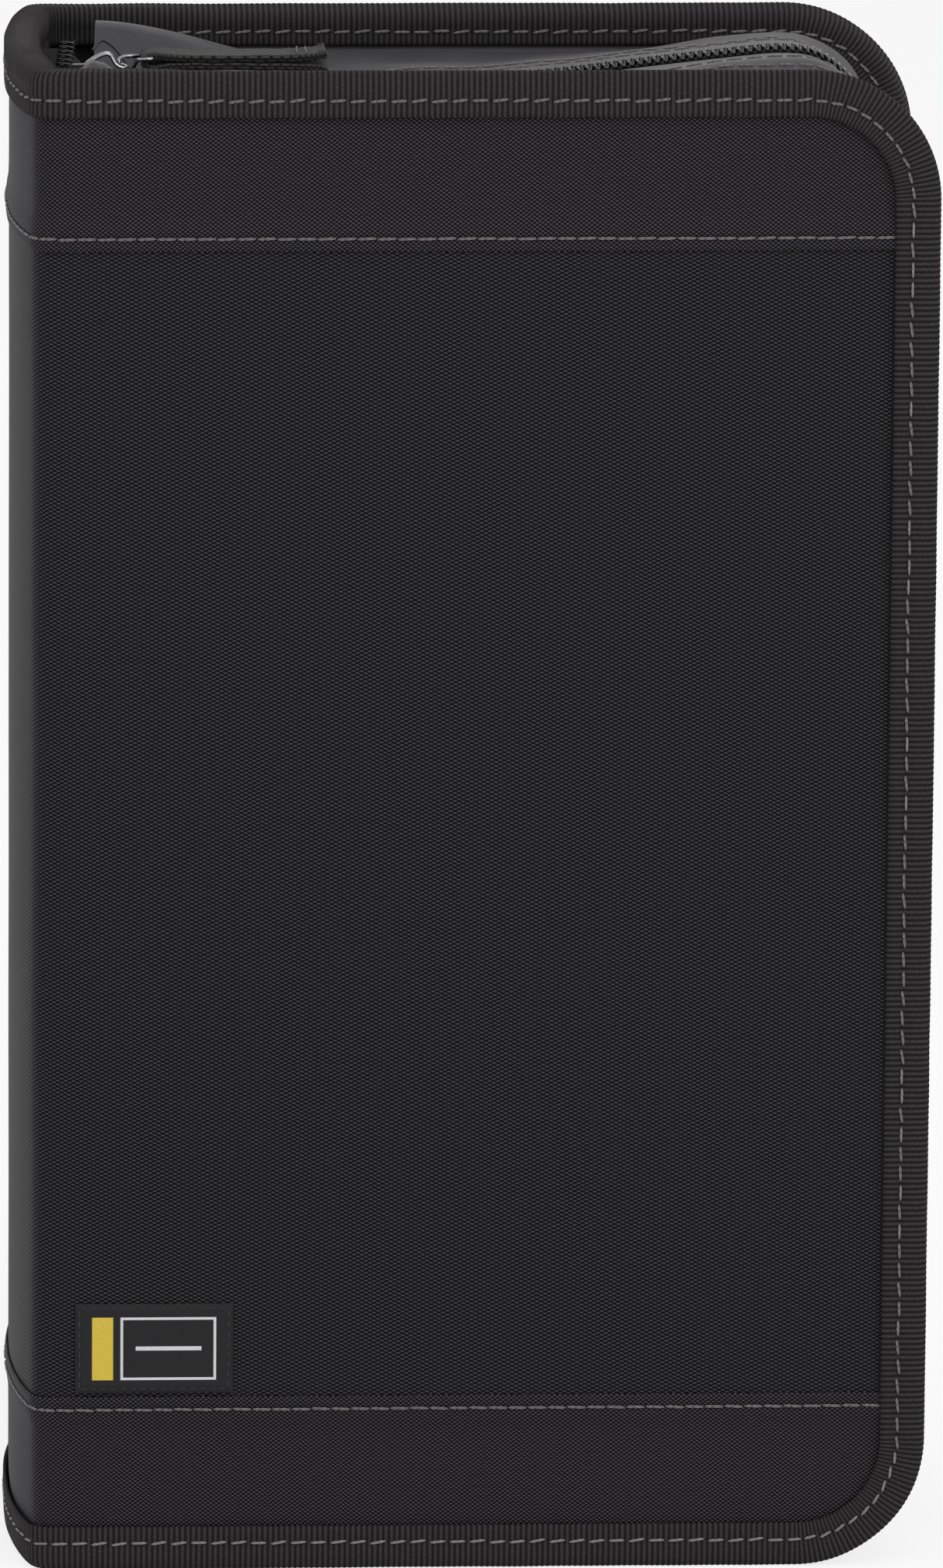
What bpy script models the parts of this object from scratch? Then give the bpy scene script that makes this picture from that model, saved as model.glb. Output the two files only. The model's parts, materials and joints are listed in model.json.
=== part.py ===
"""A zip-round disc wallet in woven nylon, standing closed on its lower edge.

The spine is on the left (-X), the front cover faces -Y, and the zip runs round the other three sides.
Two stiffened covers are hinged on the cloth folds beside a bowed spine, which carries the sleeve pages.
Lengths are in metres; +Z is up; the origin is the middle of the footprint.
"""
import math

import bmesh
import bpy
from mathutils import Matrix, Vector

MM = 0.001

# Overall size of the closed wallet
CASE_HEIGHT = 290 * MM
CASE_WIDTH = 175 * MM
CASE_DEPTH = 77 * MM
CORNER_RADIUS = 25 * MM
SPINE_BOW = 4 * MM
CLEARANCE = 0.3 * MM

# Cloth, board and lining, from the outside inwards
BINDING_THICKNESS = 0.8 * MM
BINDING_LEG = 8.5 * MM
BINDING_ROUND = 1.6 * MM
SHELL_CLOTH = 0.6 * MM
COVER_BOARD = 2.0 * MM
SPINE_BOARD = 1.2 * MM
LINING = 0.6 * MM
HEM_THICKNESS = 0.6 * MM
END_BAND_HEIGHT = 31 * MM
HEM_OVERLAP = 2.6 * MM
HEM_DEPTH = 5.0 * MM

# Folds beside the spine
FOLD_RELIEF = 1.5 * MM
SPINE_END_RELIEF = 1.5 * MM
BOARD_RELIEF = 1.0 * MM
SPINE_SEGMENTS = 14
BOW_POWER = 2.4

# Gusset and zip
GUSSET_CLOTH = 0.6 * MM
GUSSET_FLANGE_START = 3.0 * MM
GUSSET_TURN = 1.8 * MM
GUSSET_SAG = 1.5 * MM
GUSSET_START = 8.5 * MM
GUSSET_LEAD = 6.1 * MM
TAPE_THICKNESS = 0.6 * MM
TAPE_WIDTH = 12.0 * MM
TAPE_GAP = 0.9 * MM
COIL_INNER = 0.7 * MM
COIL_OUTER = 3.0 * MM
COIL_HEIGHT = 1.5 * MM
TOOTH_PITCH = 4.0 * MM
TOOTH_DEPTH = 0.5 * MM
TOOTH_GAP = 0.9 * MM
FRONT_COIL_SETBACK = 9 * MM
COURSE_SAMPLES = 40
CORNER_STEPS = 7

# Where the middle of the zip lies inside the case's outline: (share of the run, inset) along an end,
# then at the free edge; the lower end keeps a little clear of the ground
ZIP_COURSE = (
    (0.0, 10.5 * MM),
    (0.5, 9.2 * MM),
    (0.67, 7.6 * MM),
    (0.84, 4.4 * MM),
    (1.0, 1.8 * MM),
)
ZIP_INSET_AT_SIDE = 13 * MM
ZIP_GROUND_CLEARANCE = 3 * MM

# Slider and its pull
SLIDER_LENGTH = 11 * MM
SLIDER_SETBACK = 3.2 * MM
SLIDER_FLANGE = 0.9 * MM
SLIDER_PLATE = 1.0 * MM
SLIDER_POST = 1.0 * MM
SLIDER_POST_LENGTH = 3.6 * MM
SLIDER_SLOT = 1.2 * MM
SLIDER_NOSE = 2.6 * MM
BRIDGE_LENGTH = 6.0 * MM
BRIDGE_WIDTH = 1.8 * MM
BRIDGE_HEIGHT = 2.7 * MM
BRIDGE_WALL = 0.9 * MM
WIRE_DIAMETER = 1.1 * MM
RING_WIDTH = 3.6 * MM
RING_REACH = 8.6 * MM
RING_ARCH = 2.6 * MM
RING_END_RISE = 1.1 * MM
LINK_NEAR_WIDTH = 0.6 * MM
LINK_TWIST = 1.55 * MM
LINK_SETBACK = 1.6 * MM
LINK_WIDTH = 10.6 * MM
LINK_REACH = 7.0 * MM
PULL_LENGTH = 34 * MM
PULL_WIDTH = 8.0 * MM
PULL_CLOTH = 1.2 * MM
PULL_SPLAY = 0.9 * MM
PULL_TILT = math.radians(1.5)

# Sleeve pages and label
PAGE_COUNT = 24
PAGE_THICKNESS = 1.5 * MM
PAGE_PITCH = 2.3 * MM
PAGE_MARGIN_FREE = 20 * MM
PAGE_MARGIN_END = 19 * MM
PAGE_CORNER = 6 * MM
PAGE_BACK = 2.5 * MM
PAGE_STRIP = 1.0 * MM
STRIP_WIDTH = 48 * MM
LABEL_WIDTH = 30 * MM
LABEL_HEIGHT = 17.5 * MM
LABEL_THICKNESS = 0.5 * MM
LABEL_FROM_FOLD = 9 * MM
LABEL_ABOVE_HEM = 0.8 * MM

# Places that follow from the sizes
FREE_EDGE = CASE_WIDTH / 2
BINDING_OUT = CASE_DEPTH / 2
CLOTH_OUT = BINDING_OUT - BINDING_THICKNESS - CLEARANCE
BOARD_OUT = CLOTH_OUT - SHELL_CLOTH - CLEARANCE
LINING_OUT = BOARD_OUT - COVER_BOARD - CLEARANCE
FLANGE_OUT = LINING_OUT - LINING - CLEARANCE
LEG_OUT = FLANGE_OUT - GUSSET_CLOTH - CLEARANCE
FOLD_X = -FREE_EDGE + SPINE_BOW + BINDING_THICKNESS + CLEARANCE
EDGE_INSET = BINDING_THICKNESS + CLEARANCE
SPINE_STACK = SHELL_CLOTH + SPINE_BOARD + LINING + 2 * CLEARANCE
SPINE_HALF = CLOTH_OUT - SHELL_CLOTH - CLEARANCE
COVER_START = FOLD_X + SPINE_STACK + BOARD_RELIEF
BAND_EDGE = CASE_HEIGHT - END_BAND_HEIGHT
TAPE_BELOW = GUSSET_CLOTH / 2 + CLEARANCE + TAPE_THICKNESS / 2
COIL_BELOW = TAPE_BELOW - TAPE_THICKNESS / 2 - CLEARANCE
GUSSET_INNER = COIL_OUTER + 2 * CLEARANCE + SLIDER_FLANGE + CLEARANCE
CHAIN_START = FOLD_X + GUSSET_START - GUSSET_LEAD
CORNER_START = FREE_EDGE - CORNER_RADIUS
CHAIN_RUN = CORNER_START - CHAIN_START
SLIDER_X = CHAIN_START + SLIDER_SETBACK + SLIDER_LENGTH / 2
COIL_START = SLIDER_X + SLIDER_LENGTH / 2 + CLEARANCE
CHAIN_SLOPE = math.atan2(ZIP_COURSE[0][1] - ZIP_COURSE[1][1], CHAIN_RUN * ZIP_COURSE[1][0])

COLOURS = {
    "woven_cloth": ((0.030, 0.029, 0.031), 0.75, 0.0),
    "binding_tape": ((0.022, 0.021, 0.021), 0.85, 0.0),
    "lining_cloth": ((0.075, 0.073, 0.078), 0.7, 0.0),
    "board": ((0.32, 0.29, 0.25), 0.9, 0.0),
    "zip_tape": ((0.020, 0.020, 0.020), 0.85, 0.0),
    "zip_coil": ((0.025, 0.025, 0.025), 0.35, 0.0),
    "slider_metal": ((0.20, 0.20, 0.21), 0.35, 1.0),
    "wire": ((0.45, 0.45, 0.46), 0.25, 1.0),
    "label_cloth": ((0.80, 0.55, 0.05), 0.7, 0.0),
    "page_film": ((0.10, 0.10, 0.11), 0.4, 0.0),
}


def clear_scene():
    for obj in list(bpy.data.objects):
        bpy.data.objects.remove(obj)


def new_collection(name):
    collection = bpy.data.collections.new(name)
    bpy.context.scene.collection.children.link(collection)
    return collection


clear_scene()
WALLET = new_collection("disc_wallet")
CUTTERS = new_collection("cutters")
CUTTERS.hide_render = True


def finish_of(name):
    """The Principled material for one of the finishes in COLOURS."""
    found = bpy.data.materials.get(name)
    if found:
        return found
    colour, roughness, metallic = COLOURS[name]
    material = bpy.data.materials.new(name)
    material.use_nodes = True
    shader = material.node_tree.nodes["Principled BSDF"]
    shader.inputs["Base Color"].default_value = (*colour, 1)
    shader.inputs["Roughness"].default_value = roughness
    shader.inputs["Metallic"].default_value = metallic
    material.diffuse_color = (*colour, 1)
    return material


def joint_empty(name, place):
    """An empty on a joint's axis, which the pieces that move about it hang from."""
    empty = bpy.data.objects.new(name, None)
    empty.location = place
    WALLET.objects.link(empty)
    return empty


def piece(name, mesh, finish, parent):
    """A named sub-part, parented where it stands."""
    obj = bpy.data.objects.new(name, mesh)
    WALLET.objects.link(obj)
    obj.data.materials.clear()
    obj.data.materials.append(finish_of(finish))
    obj.parent = parent
    bpy.context.view_layer.update()
    obj.matrix_parent_inverse = parent.matrix_world.inverted()
    return obj


def cutter(name, mesh):
    """A guide object for a Boolean, left out of the model."""
    obj = bpy.data.objects.new(name, mesh)
    CUTTERS.objects.link(obj)
    obj.hide_render = True
    obj.display_type = "WIRE"
    return obj


def boolean(obj, tool, operation):
    modifier = obj.modifiers.new(operation.lower(), "BOOLEAN")
    modifier.operation = operation
    modifier.solver = "EXACT"
    modifier.object = tool
    return modifier


def mesh_from(bm, name):
    bmesh.ops.recalc_face_normals(bm, faces=bm.faces)
    mesh = bpy.data.meshes.new(name)
    bm.to_mesh(mesh)
    bm.free()
    return mesh


def box_mesh(name, low, high):
    """A plain box between two corners."""
    bm = bmesh.new()
    size = Vector(high) - Vector(low)
    middle = (Vector(high) + Vector(low)) / 2
    bmesh.ops.create_cube(bm, size=1.0, matrix=Matrix.Translation(middle) @ Matrix.Diagonal((*size, 1)))
    return mesh_from(bm, name)


def plate_mesh(name, outline, y_low, y_high):
    """A flat outline of (x, z) points, extruded along Y."""
    curve = bpy.data.curves.new(name, "CURVE")
    curve.dimensions = "2D"
    curve.fill_mode = "BOTH"
    curve.extrude = (y_high - y_low) / 2
    spline = curve.splines.new("POLY")
    spline.points.add(len(outline) - 1)
    for point, (x, z) in zip(spline.points, outline):
        point.co = (x, z, 0, 1)
    spline.use_cyclic_u = True
    flat = bpy.data.objects.new(name, curve)
    CUTTERS.objects.link(flat)
    bpy.context.view_layer.update()
    graph = bpy.context.evaluated_depsgraph_get()
    mesh = bpy.data.meshes.new_from_object(flat.evaluated_get(graph))
    bpy.data.objects.remove(flat)
    upright = Matrix.Translation((0, (y_low + y_high) / 2, 0)) @ Matrix.Rotation(math.pi / 2, 4, "X")
    mesh.transform(upright)
    bm = bmesh.new()
    bm.from_mesh(mesh)
    bmesh.ops.remove_doubles(bm, verts=bm.verts, dist=1e-6)
    bm.to_mesh(mesh)
    bm.free()
    return mesh


def arc(centre, radius, start, end, steps):
    """Points on an arc from one angle to another, in degrees."""
    angles = [math.radians(start + (end - start) * i / steps) for i in range(steps + 1)]
    return [(centre[0] + radius * math.cos(a), centre[1] + radius * math.sin(a)) for a in angles]


def cover_outline(inset, x_start, z_low=None, z_high=None):
    """The cover's shape seen from the front, square at the spine and round at the free corners."""
    low = inset if z_low is None else z_low
    high = CASE_HEIGHT - inset if z_high is None else z_high
    right = FREE_EDGE - inset
    radius = CORNER_RADIUS - inset
    outline = [(x_start, high), (x_start, low)]
    if z_low is None:
        outline += arc((right - radius, low + radius), radius, -90, 0, CORNER_STEPS)
    else:
        outline.append((right, low))
    if z_high is None:
        outline += arc((right - radius, high - radius), radius, 0, 90, CORNER_STEPS)
    else:
        outline.append((right, high))
    return outline


def span(side, inner, outer):
    """The Y range of a layer between two distances from the mid plane, on the front (-1) or back (+1)."""
    return sorted((side * inner, side * outer))


def swept(name, section, stations, place):
    """A solid drawn by extruding a closed section through each station in turn."""
    bm = bmesh.new()
    corners = [bm.verts.new(place(stations[0], point)) for point in section]
    face = bm.faces.new(corners)
    order = {v: i for i, v in enumerate(corners)}
    for station in stations[1:]:
        made = bmesh.ops.extrude_face_region(bm, geom=[face, *face.edges])["geom"]
        face = next(item for item in made if isinstance(item, bmesh.types.BMFace))
        places = {tuple(v.co): i for v, i in order.items()}
        order = {v: places[tuple(v.co)] for v in face.verts}
        for v, i in order.items():
            v.co = place(station, section[i])
    return mesh_from(bm, name)


def ribbon_section(line, thickness):
    """The closed outline of a thin strip whose middle follows a line of (inset, out) points."""
    sides = ([], [])
    for i, point in enumerate(line):
        before = Vector(line[max(i - 1, 0)])
        after = Vector(line[min(i + 1, len(line) - 1)])
        along = (after - before).normalized()
        normal = Vector((-along.y, along.x)) * thickness / 2
        sides[0].append(tuple(Vector(point) + normal))
        sides[1].append(tuple(Vector(point) - normal))
    return sides[0] + sides[1][::-1]


def bow(y):
    """How far the spine bulges at y, from nothing at the folds to SPINE_BOW in the middle."""
    return SPINE_BOW * (1 - min(1, abs(y) / SPINE_HALF) ** BOW_POWER)


def spine_point(y, depth):
    """A point in plan, that far inside the spine's outer cloth face (outside it if negative)."""
    step = 0.2 * MM
    slope = (bow(y + step) - bow(y - step)) / (2 * step)
    inward = Vector((1, slope)).normalized()
    return Vector((FOLD_X - bow(y), y)) + inward * depth


def spine_sheet(name, finish, depth, thickness, z_low, z_high, parent, half_width=SPINE_HALF):
    """One bowed layer of the spine, at a depth inside the outer face."""
    stations = [half_width * (2 * i / SPINE_SEGMENTS - 1) for i in range(SPINE_SEGMENTS + 1)]
    section = [(depth, z_low), (depth + thickness, z_low), (depth + thickness, z_high), (depth, z_high)]

    def place(y, point):
        x, flat_y = spine_point(y, point[0])
        return (x, flat_y, point[1])

    return piece(name, swept(name, section, stations, place), finish, parent)


def rim_stations():
    """Where the zip side's sections stand: the top edge, free corner, free edge, corner and lower edge."""
    shares = [share for share, inset in ZIP_COURSE[:-1]]
    corner = [i / CORNER_STEPS for i in range(CORNER_STEPS + 1)]
    stations = [("top", share) for share in shares]
    stations += [("upper corner", share) for share in corner]
    stations += [("lower corner", share) for share in corner]
    return stations + [("bottom", 1 - share) for share in reversed(shares)]


def rim_point(station, inset, start_x):
    """The (x, z) of a point that far inside the case's outline, at a station round the rim."""
    where, share = station
    if where in ("top", "bottom"):
        share = share if where == "top" else 1 - share
        x = start_x + (CORNER_START - start_x) * share
        return (x, CASE_HEIGHT - inset if where == "top" else inset)
    if where == "free edge":
        upper = CASE_HEIGHT - CORNER_RADIUS
        return (FREE_EDGE - inset, upper + (CORNER_RADIUS - upper) * share)
    angle = math.radians(90 * (1 - share) if where == "upper corner" else 90 * share)
    radius = CORNER_RADIUS - inset
    x = CORNER_START + radius * math.cos(angle)
    rise = CORNER_RADIUS - radius * math.sin(angle)
    return (x, CASE_HEIGHT - rise if where == "upper corner" else rise)


def zip_inset(station):
    """How far inside the outline the zip's middle lies: shallow at the corners, deeper elsewhere."""
    where, share = station
    if where == "upper corner":
        near = ZIP_COURSE[-1][1]
        return near + (ZIP_INSET_AT_SIDE - near) * share
    if where == "lower corner":
        near = max(ZIP_COURSE[-1][1], ZIP_GROUND_CLEARANCE)
        return ZIP_INSET_AT_SIDE + (near - ZIP_INSET_AT_SIDE) * share
    if where == "free edge":
        return ZIP_INSET_AT_SIDE
    share = share if where == "top" else 1 - share
    for (low, low_inset), (high, high_inset) in zip(ZIP_COURSE, ZIP_COURSE[1:]):
        if share <= high:
            inset = low_inset + (high_inset - low_inset) * (share - low) / (high - low)
            break
    return inset if where == "top" else max(inset, ZIP_GROUND_CLEARANCE)


def build_shell(side, label, parent):
    """A cover's outer cloth: a main panel between two hemmed end bands."""
    low, high = span(side, CLOTH_OUT - SHELL_CLOTH, CLOTH_OUT)
    main = cover_outline(EDGE_INSET, FOLD_X, END_BAND_HEIGHT + CLEARANCE, BAND_EDGE - CLEARANCE)
    piece(f"{label}_main_panel", plate_mesh(f"{label}_main_panel", main, low, high), "woven_cloth", parent)
    hem_right = FREE_EDGE - BINDING_LEG - CLEARANCE
    lap_low, lap_high = span(side, CLOTH_OUT + CLEARANCE, CLOTH_OUT + CLEARANCE + HEM_THICKNESS)
    root_low, root_high = span(side, CLOTH_OUT - SHELL_CLOTH / 2, CLOTH_OUT + CLEARANCE + HEM_THICKNESS)
    for end, flip in (("top", False), ("bottom", True)):
        name = f"{label}_{end}_band"

        def z_range(from_edge, to_edge):
            """The Z range between two distances from this end of the case."""
            near, far = CASE_HEIGHT - from_edge, CASE_HEIGHT - to_edge
            return (from_edge, to_edge) if flip else (far, near)

        z_low, z_high = z_range(EDGE_INSET, END_BAND_HEIGHT)
        if flip:
            outline = cover_outline(EDGE_INSET, FOLD_X, None, z_high)
        else:
            outline = cover_outline(EDGE_INSET, FOLD_X, z_low, None)
        band = piece(name, plate_mesh(name, outline, low, high), "woven_cloth", parent)
        lap_z = z_range(END_BAND_HEIGHT - HEM_DEPTH + HEM_OVERLAP, END_BAND_HEIGHT + HEM_OVERLAP)
        root_z = z_range(END_BAND_HEIGHT - HEM_DEPTH + HEM_OVERLAP, END_BAND_HEIGHT)
        lap_start = FOLD_X + FOLD_RELIEF
        lap = box_mesh(name + "_lap", (lap_start, lap_low, lap_z[0]), (hem_right, lap_high, lap_z[1]))
        root = box_mesh(name + "_root", (lap_start, root_low, root_z[0]), (hem_right, root_high, root_z[1]))
        boolean(band, cutter(name + "_root", root), "UNION")
        boolean(band, cutter(name + "_lap", lap), "UNION")


def build_stiffener(side, label, parent):
    """The board inside a cover and the lining on its inner face."""
    low, high = span(side, BOARD_OUT - COVER_BOARD, BOARD_OUT)
    board = cover_outline(EDGE_INSET, COVER_START)
    piece(f"{label}_board", plate_mesh(f"{label}_board", board, low, high), "board", parent)
    low, high = span(side, LINING_OUT - LINING, LINING_OUT)
    piece(f"{label}_lining", plate_mesh(f"{label}_lining", board, low, high), "lining_cloth", parent)


def rounded_u(inner, outer, thickness, leg, rounding):
    """A folded tape's section as (inset, out) points: two legs joined round an edge at inset 0."""
    r = rounding
    outside = [(leg, outer), (r, outer), (r * 0.3, outer - r * 0.3), (0, outer - r)]
    outside += [(0, inner + r), (r * 0.3, inner + r * 0.3), (r, inner), (leg, inner)]
    inside = [(leg, inner + thickness), (thickness, inner + thickness)]
    inside += [(thickness, outer - thickness), (leg, outer - thickness)]
    return outside + inside


def build_binding(side, label, parent):
    """The ribbed tape folded over a cover's three free edges."""
    inner = LEG_OUT - BINDING_THICKNESS
    section = rounded_u(inner, BINDING_OUT, BINDING_THICKNESS, BINDING_LEG, BINDING_ROUND)

    def place(station, point):
        start = FOLD_X + FOLD_RELIEF + (SPINE_STACK + BOARD_RELIEF) * (point[1] < CLOTH_OUT)
        x, z = rim_point(station, point[0], start)
        return (x, side * point[1], z)

    name = f"{label}_binding"
    piece(name, swept(name, section, rim_stations(), place), "binding_tape", parent)


def build_gusset(side, label, parent):
    """The soft wall between a cover and the zip, sewn on by a flange under the binding."""
    flange_out = FLANGE_OUT - GUSSET_CLOTH / 2
    wall_inset = BINDING_LEG + CLEARANCE + GUSSET_CLOTH
    tape_edge = TAPE_WIDTH + COIL_INNER

    def line(station):
        zip_at = zip_inset(station)
        sag = (wall_inset + zip_at) / 2 + GUSSET_SAG
        return [
            (GUSSET_FLANGE_START, flange_out),
            (wall_inset, flange_out),
            (wall_inset + GUSSET_TURN * 0.7, flange_out - GUSSET_TURN * 0.3),
            (wall_inset + GUSSET_TURN, flange_out - GUSSET_TURN),
            (sag, (flange_out + tape_edge) / 2),
            (zip_at, tape_edge),
            (zip_at, GUSSET_INNER),
        ]

    stations = rim_stations()
    section = list(range(2 * len(line(stations[0]))))

    def place(station, index):
        inset, out = ribbon_section(line(station), GUSSET_CLOTH)[index]
        start = FOLD_X + GUSSET_START - GUSSET_LEAD * (1 - out / flange_out)
        x, z = rim_point(station, inset, start)
        return (x, side * out, z)

    name = f"{label}_gusset"
    piece(name, swept(name, section, stations, place), "lining_cloth", parent)


def chain_section(inner, outer, below_low, below_high):
    """A rectangle beside the zip's middle, from distance inner to outer, between two depths."""
    return [(below_low, inner), (below_low, outer), (below_high, outer), (below_high, inner)]


def tooth_stations(start, offset):
    """Stations half a tooth apart along the zip's middle, from a distance past the chain's start."""
    course = ("top", "upper corner", "free edge", "lower corner", "bottom")
    walk = [(where, i / COURSE_SAMPLES) for where in course for i in range(COURSE_SAMPLES + 1)]
    places = [Vector(rim_point(station, zip_inset(station), CHAIN_START)) for station in walk]
    run = [0.0]
    for here, there in zip(places, places[1:]):
        run.append(run[-1] + (there - here).length)
    stations, i = [], 0
    distance = start + offset
    while distance < run[-1]:
        while run[i + 1] < distance:
            i += 1
        (where, low), (after, high) = walk[i], walk[i + 1]
        part_way = (distance - run[i]) / (run[i + 1] - run[i])
        stations.append((where, low + (high - low) * part_way) if where == after else walk[i + 1])
        distance += TOOTH_PITCH / 2
    return stations


def build_zip_half(side, label, parent):
    """One side of the zip: its woven tape, and the toothed coil sewn along the tape's edge."""

    def place(station, point):
        x, z = rim_point(station, zip_inset(station) + point[0], CHAIN_START)
        return (x, side * point[1], z)

    half = TAPE_THICKNESS / 2
    tape = chain_section(TAPE_GAP, TAPE_WIDTH, TAPE_BELOW - half, TAPE_BELOW + half)
    name = f"{label}_zip_tape"
    piece(name, swept(name, tape, rim_stations(), place), "zip_tape", parent)

    start = COIL_START - CHAIN_START + (FRONT_COIL_SETBACK if side < 0 else 0)
    stations = tooth_stations(start, TOOTH_PITCH / 2 if side < 0 else 0)
    numbered = list(enumerate(stations))
    crest = chain_section(COIL_INNER, COIL_OUTER, COIL_BELOW - COIL_HEIGHT, COIL_BELOW)
    valley = chain_section(
        COIL_INNER + TOOTH_GAP, COIL_OUTER, COIL_BELOW - COIL_HEIGHT + TOOTH_DEPTH, COIL_BELOW
    )

    def place_tooth(numbered_station, corner):
        number, station = numbered_station
        return place(station, (crest, valley)[number % 2][corner])

    name = f"{label}_zip_coil"
    piece(name, swept(name, range(len(crest)), numbered, place_tooth), "zip_coil", parent)


def build_cover(side, label):
    """Everything that turns with one cover about the fold beside the spine."""
    hinge = joint_empty(f"{label}_hinge_axis", (FOLD_X, side * CLOTH_OUT, 0))
    build_shell(side, label, hinge)
    build_stiffener(side, label, hinge)
    build_binding(side, label, hinge)
    build_gusset(side, label, hinge)
    build_zip_half(side, label, hinge)
    return hinge


def build_label(parent):
    """The woven patch sewn on the front cover just above the lower band."""
    low, high = span(-1, CLOTH_OUT + CLEARANCE, CLOTH_OUT + CLEARANCE + LABEL_THICKNESS)
    x = FOLD_X + LABEL_FROM_FOLD
    z = END_BAND_HEIGHT + HEM_OVERLAP + LABEL_ABOVE_HEM
    mesh = box_mesh("label", (x, low, z), (x + LABEL_WIDTH, high, z + LABEL_HEIGHT))
    piece("label", mesh, "label_cloth", parent)


def build_spine(root):
    """The bowed spine: outer cloth in three lengths, a thin board, the lining, and tape on both ends."""
    inner_z = (EDGE_INSET, CASE_HEIGHT - EDGE_INSET)
    main_z = (END_BAND_HEIGHT + CLEARANCE, BAND_EDGE - CLEARANCE)
    spine_sheet("spine_main_panel", "woven_cloth", 0, SHELL_CLOTH, *main_z, root)
    for end, flip in (("top", False), ("bottom", True)):
        band_z = (inner_z[0], END_BAND_HEIGHT) if flip else (BAND_EDGE, inner_z[1])
        spine_sheet(f"spine_{end}_band", "woven_cloth", 0, SHELL_CLOTH, *band_z, root)
    board_depth = SHELL_CLOTH + CLEARANCE
    spine_sheet("spine_board", "board", board_depth, SPINE_BOARD, *inner_z, root)
    lining_depth = board_depth + SPINE_BOARD + CLEARANCE
    lining_half = LEG_OUT - BINDING_THICKNESS
    spine_sheet("spine_lining", "lining_cloth", lining_depth, LINING, *inner_z, root, lining_half)
    strip_depth = lining_depth + LINING + CLEARANCE
    strip = (PAGE_MARGIN_END, CASE_HEIGHT - PAGE_MARGIN_END)
    spine_sheet("page_strip", "zip_tape", strip_depth, PAGE_STRIP, *strip, root, STRIP_WIDTH / 2)
    build_spine_binding(root, lining_depth + LINING + CLEARANCE)


def build_spine_binding(root, inner_depth):
    """The ribbed tape over the spine's upper and lower ends."""
    half = CLOTH_OUT - SPINE_END_RELIEF
    stations = [half * (2 * i / SPINE_SEGMENTS - 1) for i in range(SPINE_SEGMENTS + 1)]
    outer = CLEARANCE + BINDING_THICKNESS
    inner = -inner_depth - BINDING_THICKNESS
    section = rounded_u(inner, outer, BINDING_THICKNESS, BINDING_LEG, BINDING_ROUND)
    for end, flip in (("top", False), ("bottom", True)):

        def place(y, point):
            inset, out = point
            flat = y if out > 0 else y * (LEG_OUT - BINDING_THICKNESS - SPINE_END_RELIEF) / half
            x, flat_y = spine_point(flat, -out)
            return (x, flat_y, inset if flip else CASE_HEIGHT - inset)

        name = f"spine_{end}_binding"
        piece(name, swept(name, section, stations, place), "binding_tape", root)


def build_pages(root):
    """The block of sleeve pages: separate leaves joined along a welded back edge."""
    strip_face = spine_point(STRIP_WIDTH / 2, SPINE_STACK + CLEARANCE + PAGE_STRIP)[0]
    back = strip_face + CLEARANCE
    right = FREE_EDGE - PAGE_MARGIN_FREE
    half = ((PAGE_COUNT - 1) * PAGE_PITCH + PAGE_THICKNESS) / 2
    comb = [(back, half), (back, -half)]
    for i in range(PAGE_COUNT):
        y = -half + i * PAGE_PITCH
        comb += [(right, y), (right, y + PAGE_THICKNESS)]
        if i < PAGE_COUNT - 1:
            comb += [(back + PAGE_BACK, y + PAGE_THICKNESS), (back + PAGE_BACK, y + PAGE_PITCH)]
    low, top = PAGE_MARGIN_END, CASE_HEIGHT - PAGE_MARGIN_END
    mesh = swept("disc_pages", comb, [low, top], lambda z, point: (*point, z))
    pages = piece("disc_pages", mesh, "page_film", root)
    margin = 10 * MM
    outline = [(back - margin, top + CLEARANCE), (back - margin, low - CLEARANCE)]
    outline += arc((right - PAGE_CORNER, low + PAGE_CORNER), PAGE_CORNER, -90, 0, 4)
    outline += arc((right - PAGE_CORNER, top - PAGE_CORNER), PAGE_CORNER, 0, 90, 4)
    trimmer = plate_mesh("page_corners", outline, -half - margin, half + margin)
    boolean(pages, cutter("page_corners", trimmer), "INTERSECT")


def chain_frame():
    """The matrix that stands the slider on the zip: X along the chain, Z away from the case."""
    share = (SLIDER_X - CHAIN_START) / CHAIN_RUN
    x, z = rim_point(("top", share), zip_inset(("top", share)), CHAIN_START)
    return Matrix.Translation((x, 0, z)) @ Matrix.Rotation(-CHAIN_SLOPE, 4, "Y")


def slider_outline(half_width):
    """The slider's plan: square at the tail, with a rounded nose towards the spine."""
    tail, nose = SLIDER_LENGTH / 2, -SLIDER_LENGTH / 2
    return [
        (tail, -half_width + SLIDER_FLANGE / 2),
        (tail, half_width - SLIDER_FLANGE / 2),
        (tail - SLIDER_FLANGE, half_width),
        (nose + SLIDER_NOSE, half_width),
        (nose + SLIDER_NOSE * 0.35, half_width * 0.75),
        (nose, half_width * 0.35),
        (nose, -half_width * 0.35),
        (nose + SLIDER_NOSE * 0.35, -half_width * 0.75),
        (nose + SLIDER_NOSE, -half_width),
        (tail - SLIDER_FLANGE, -half_width),
    ]


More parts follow.
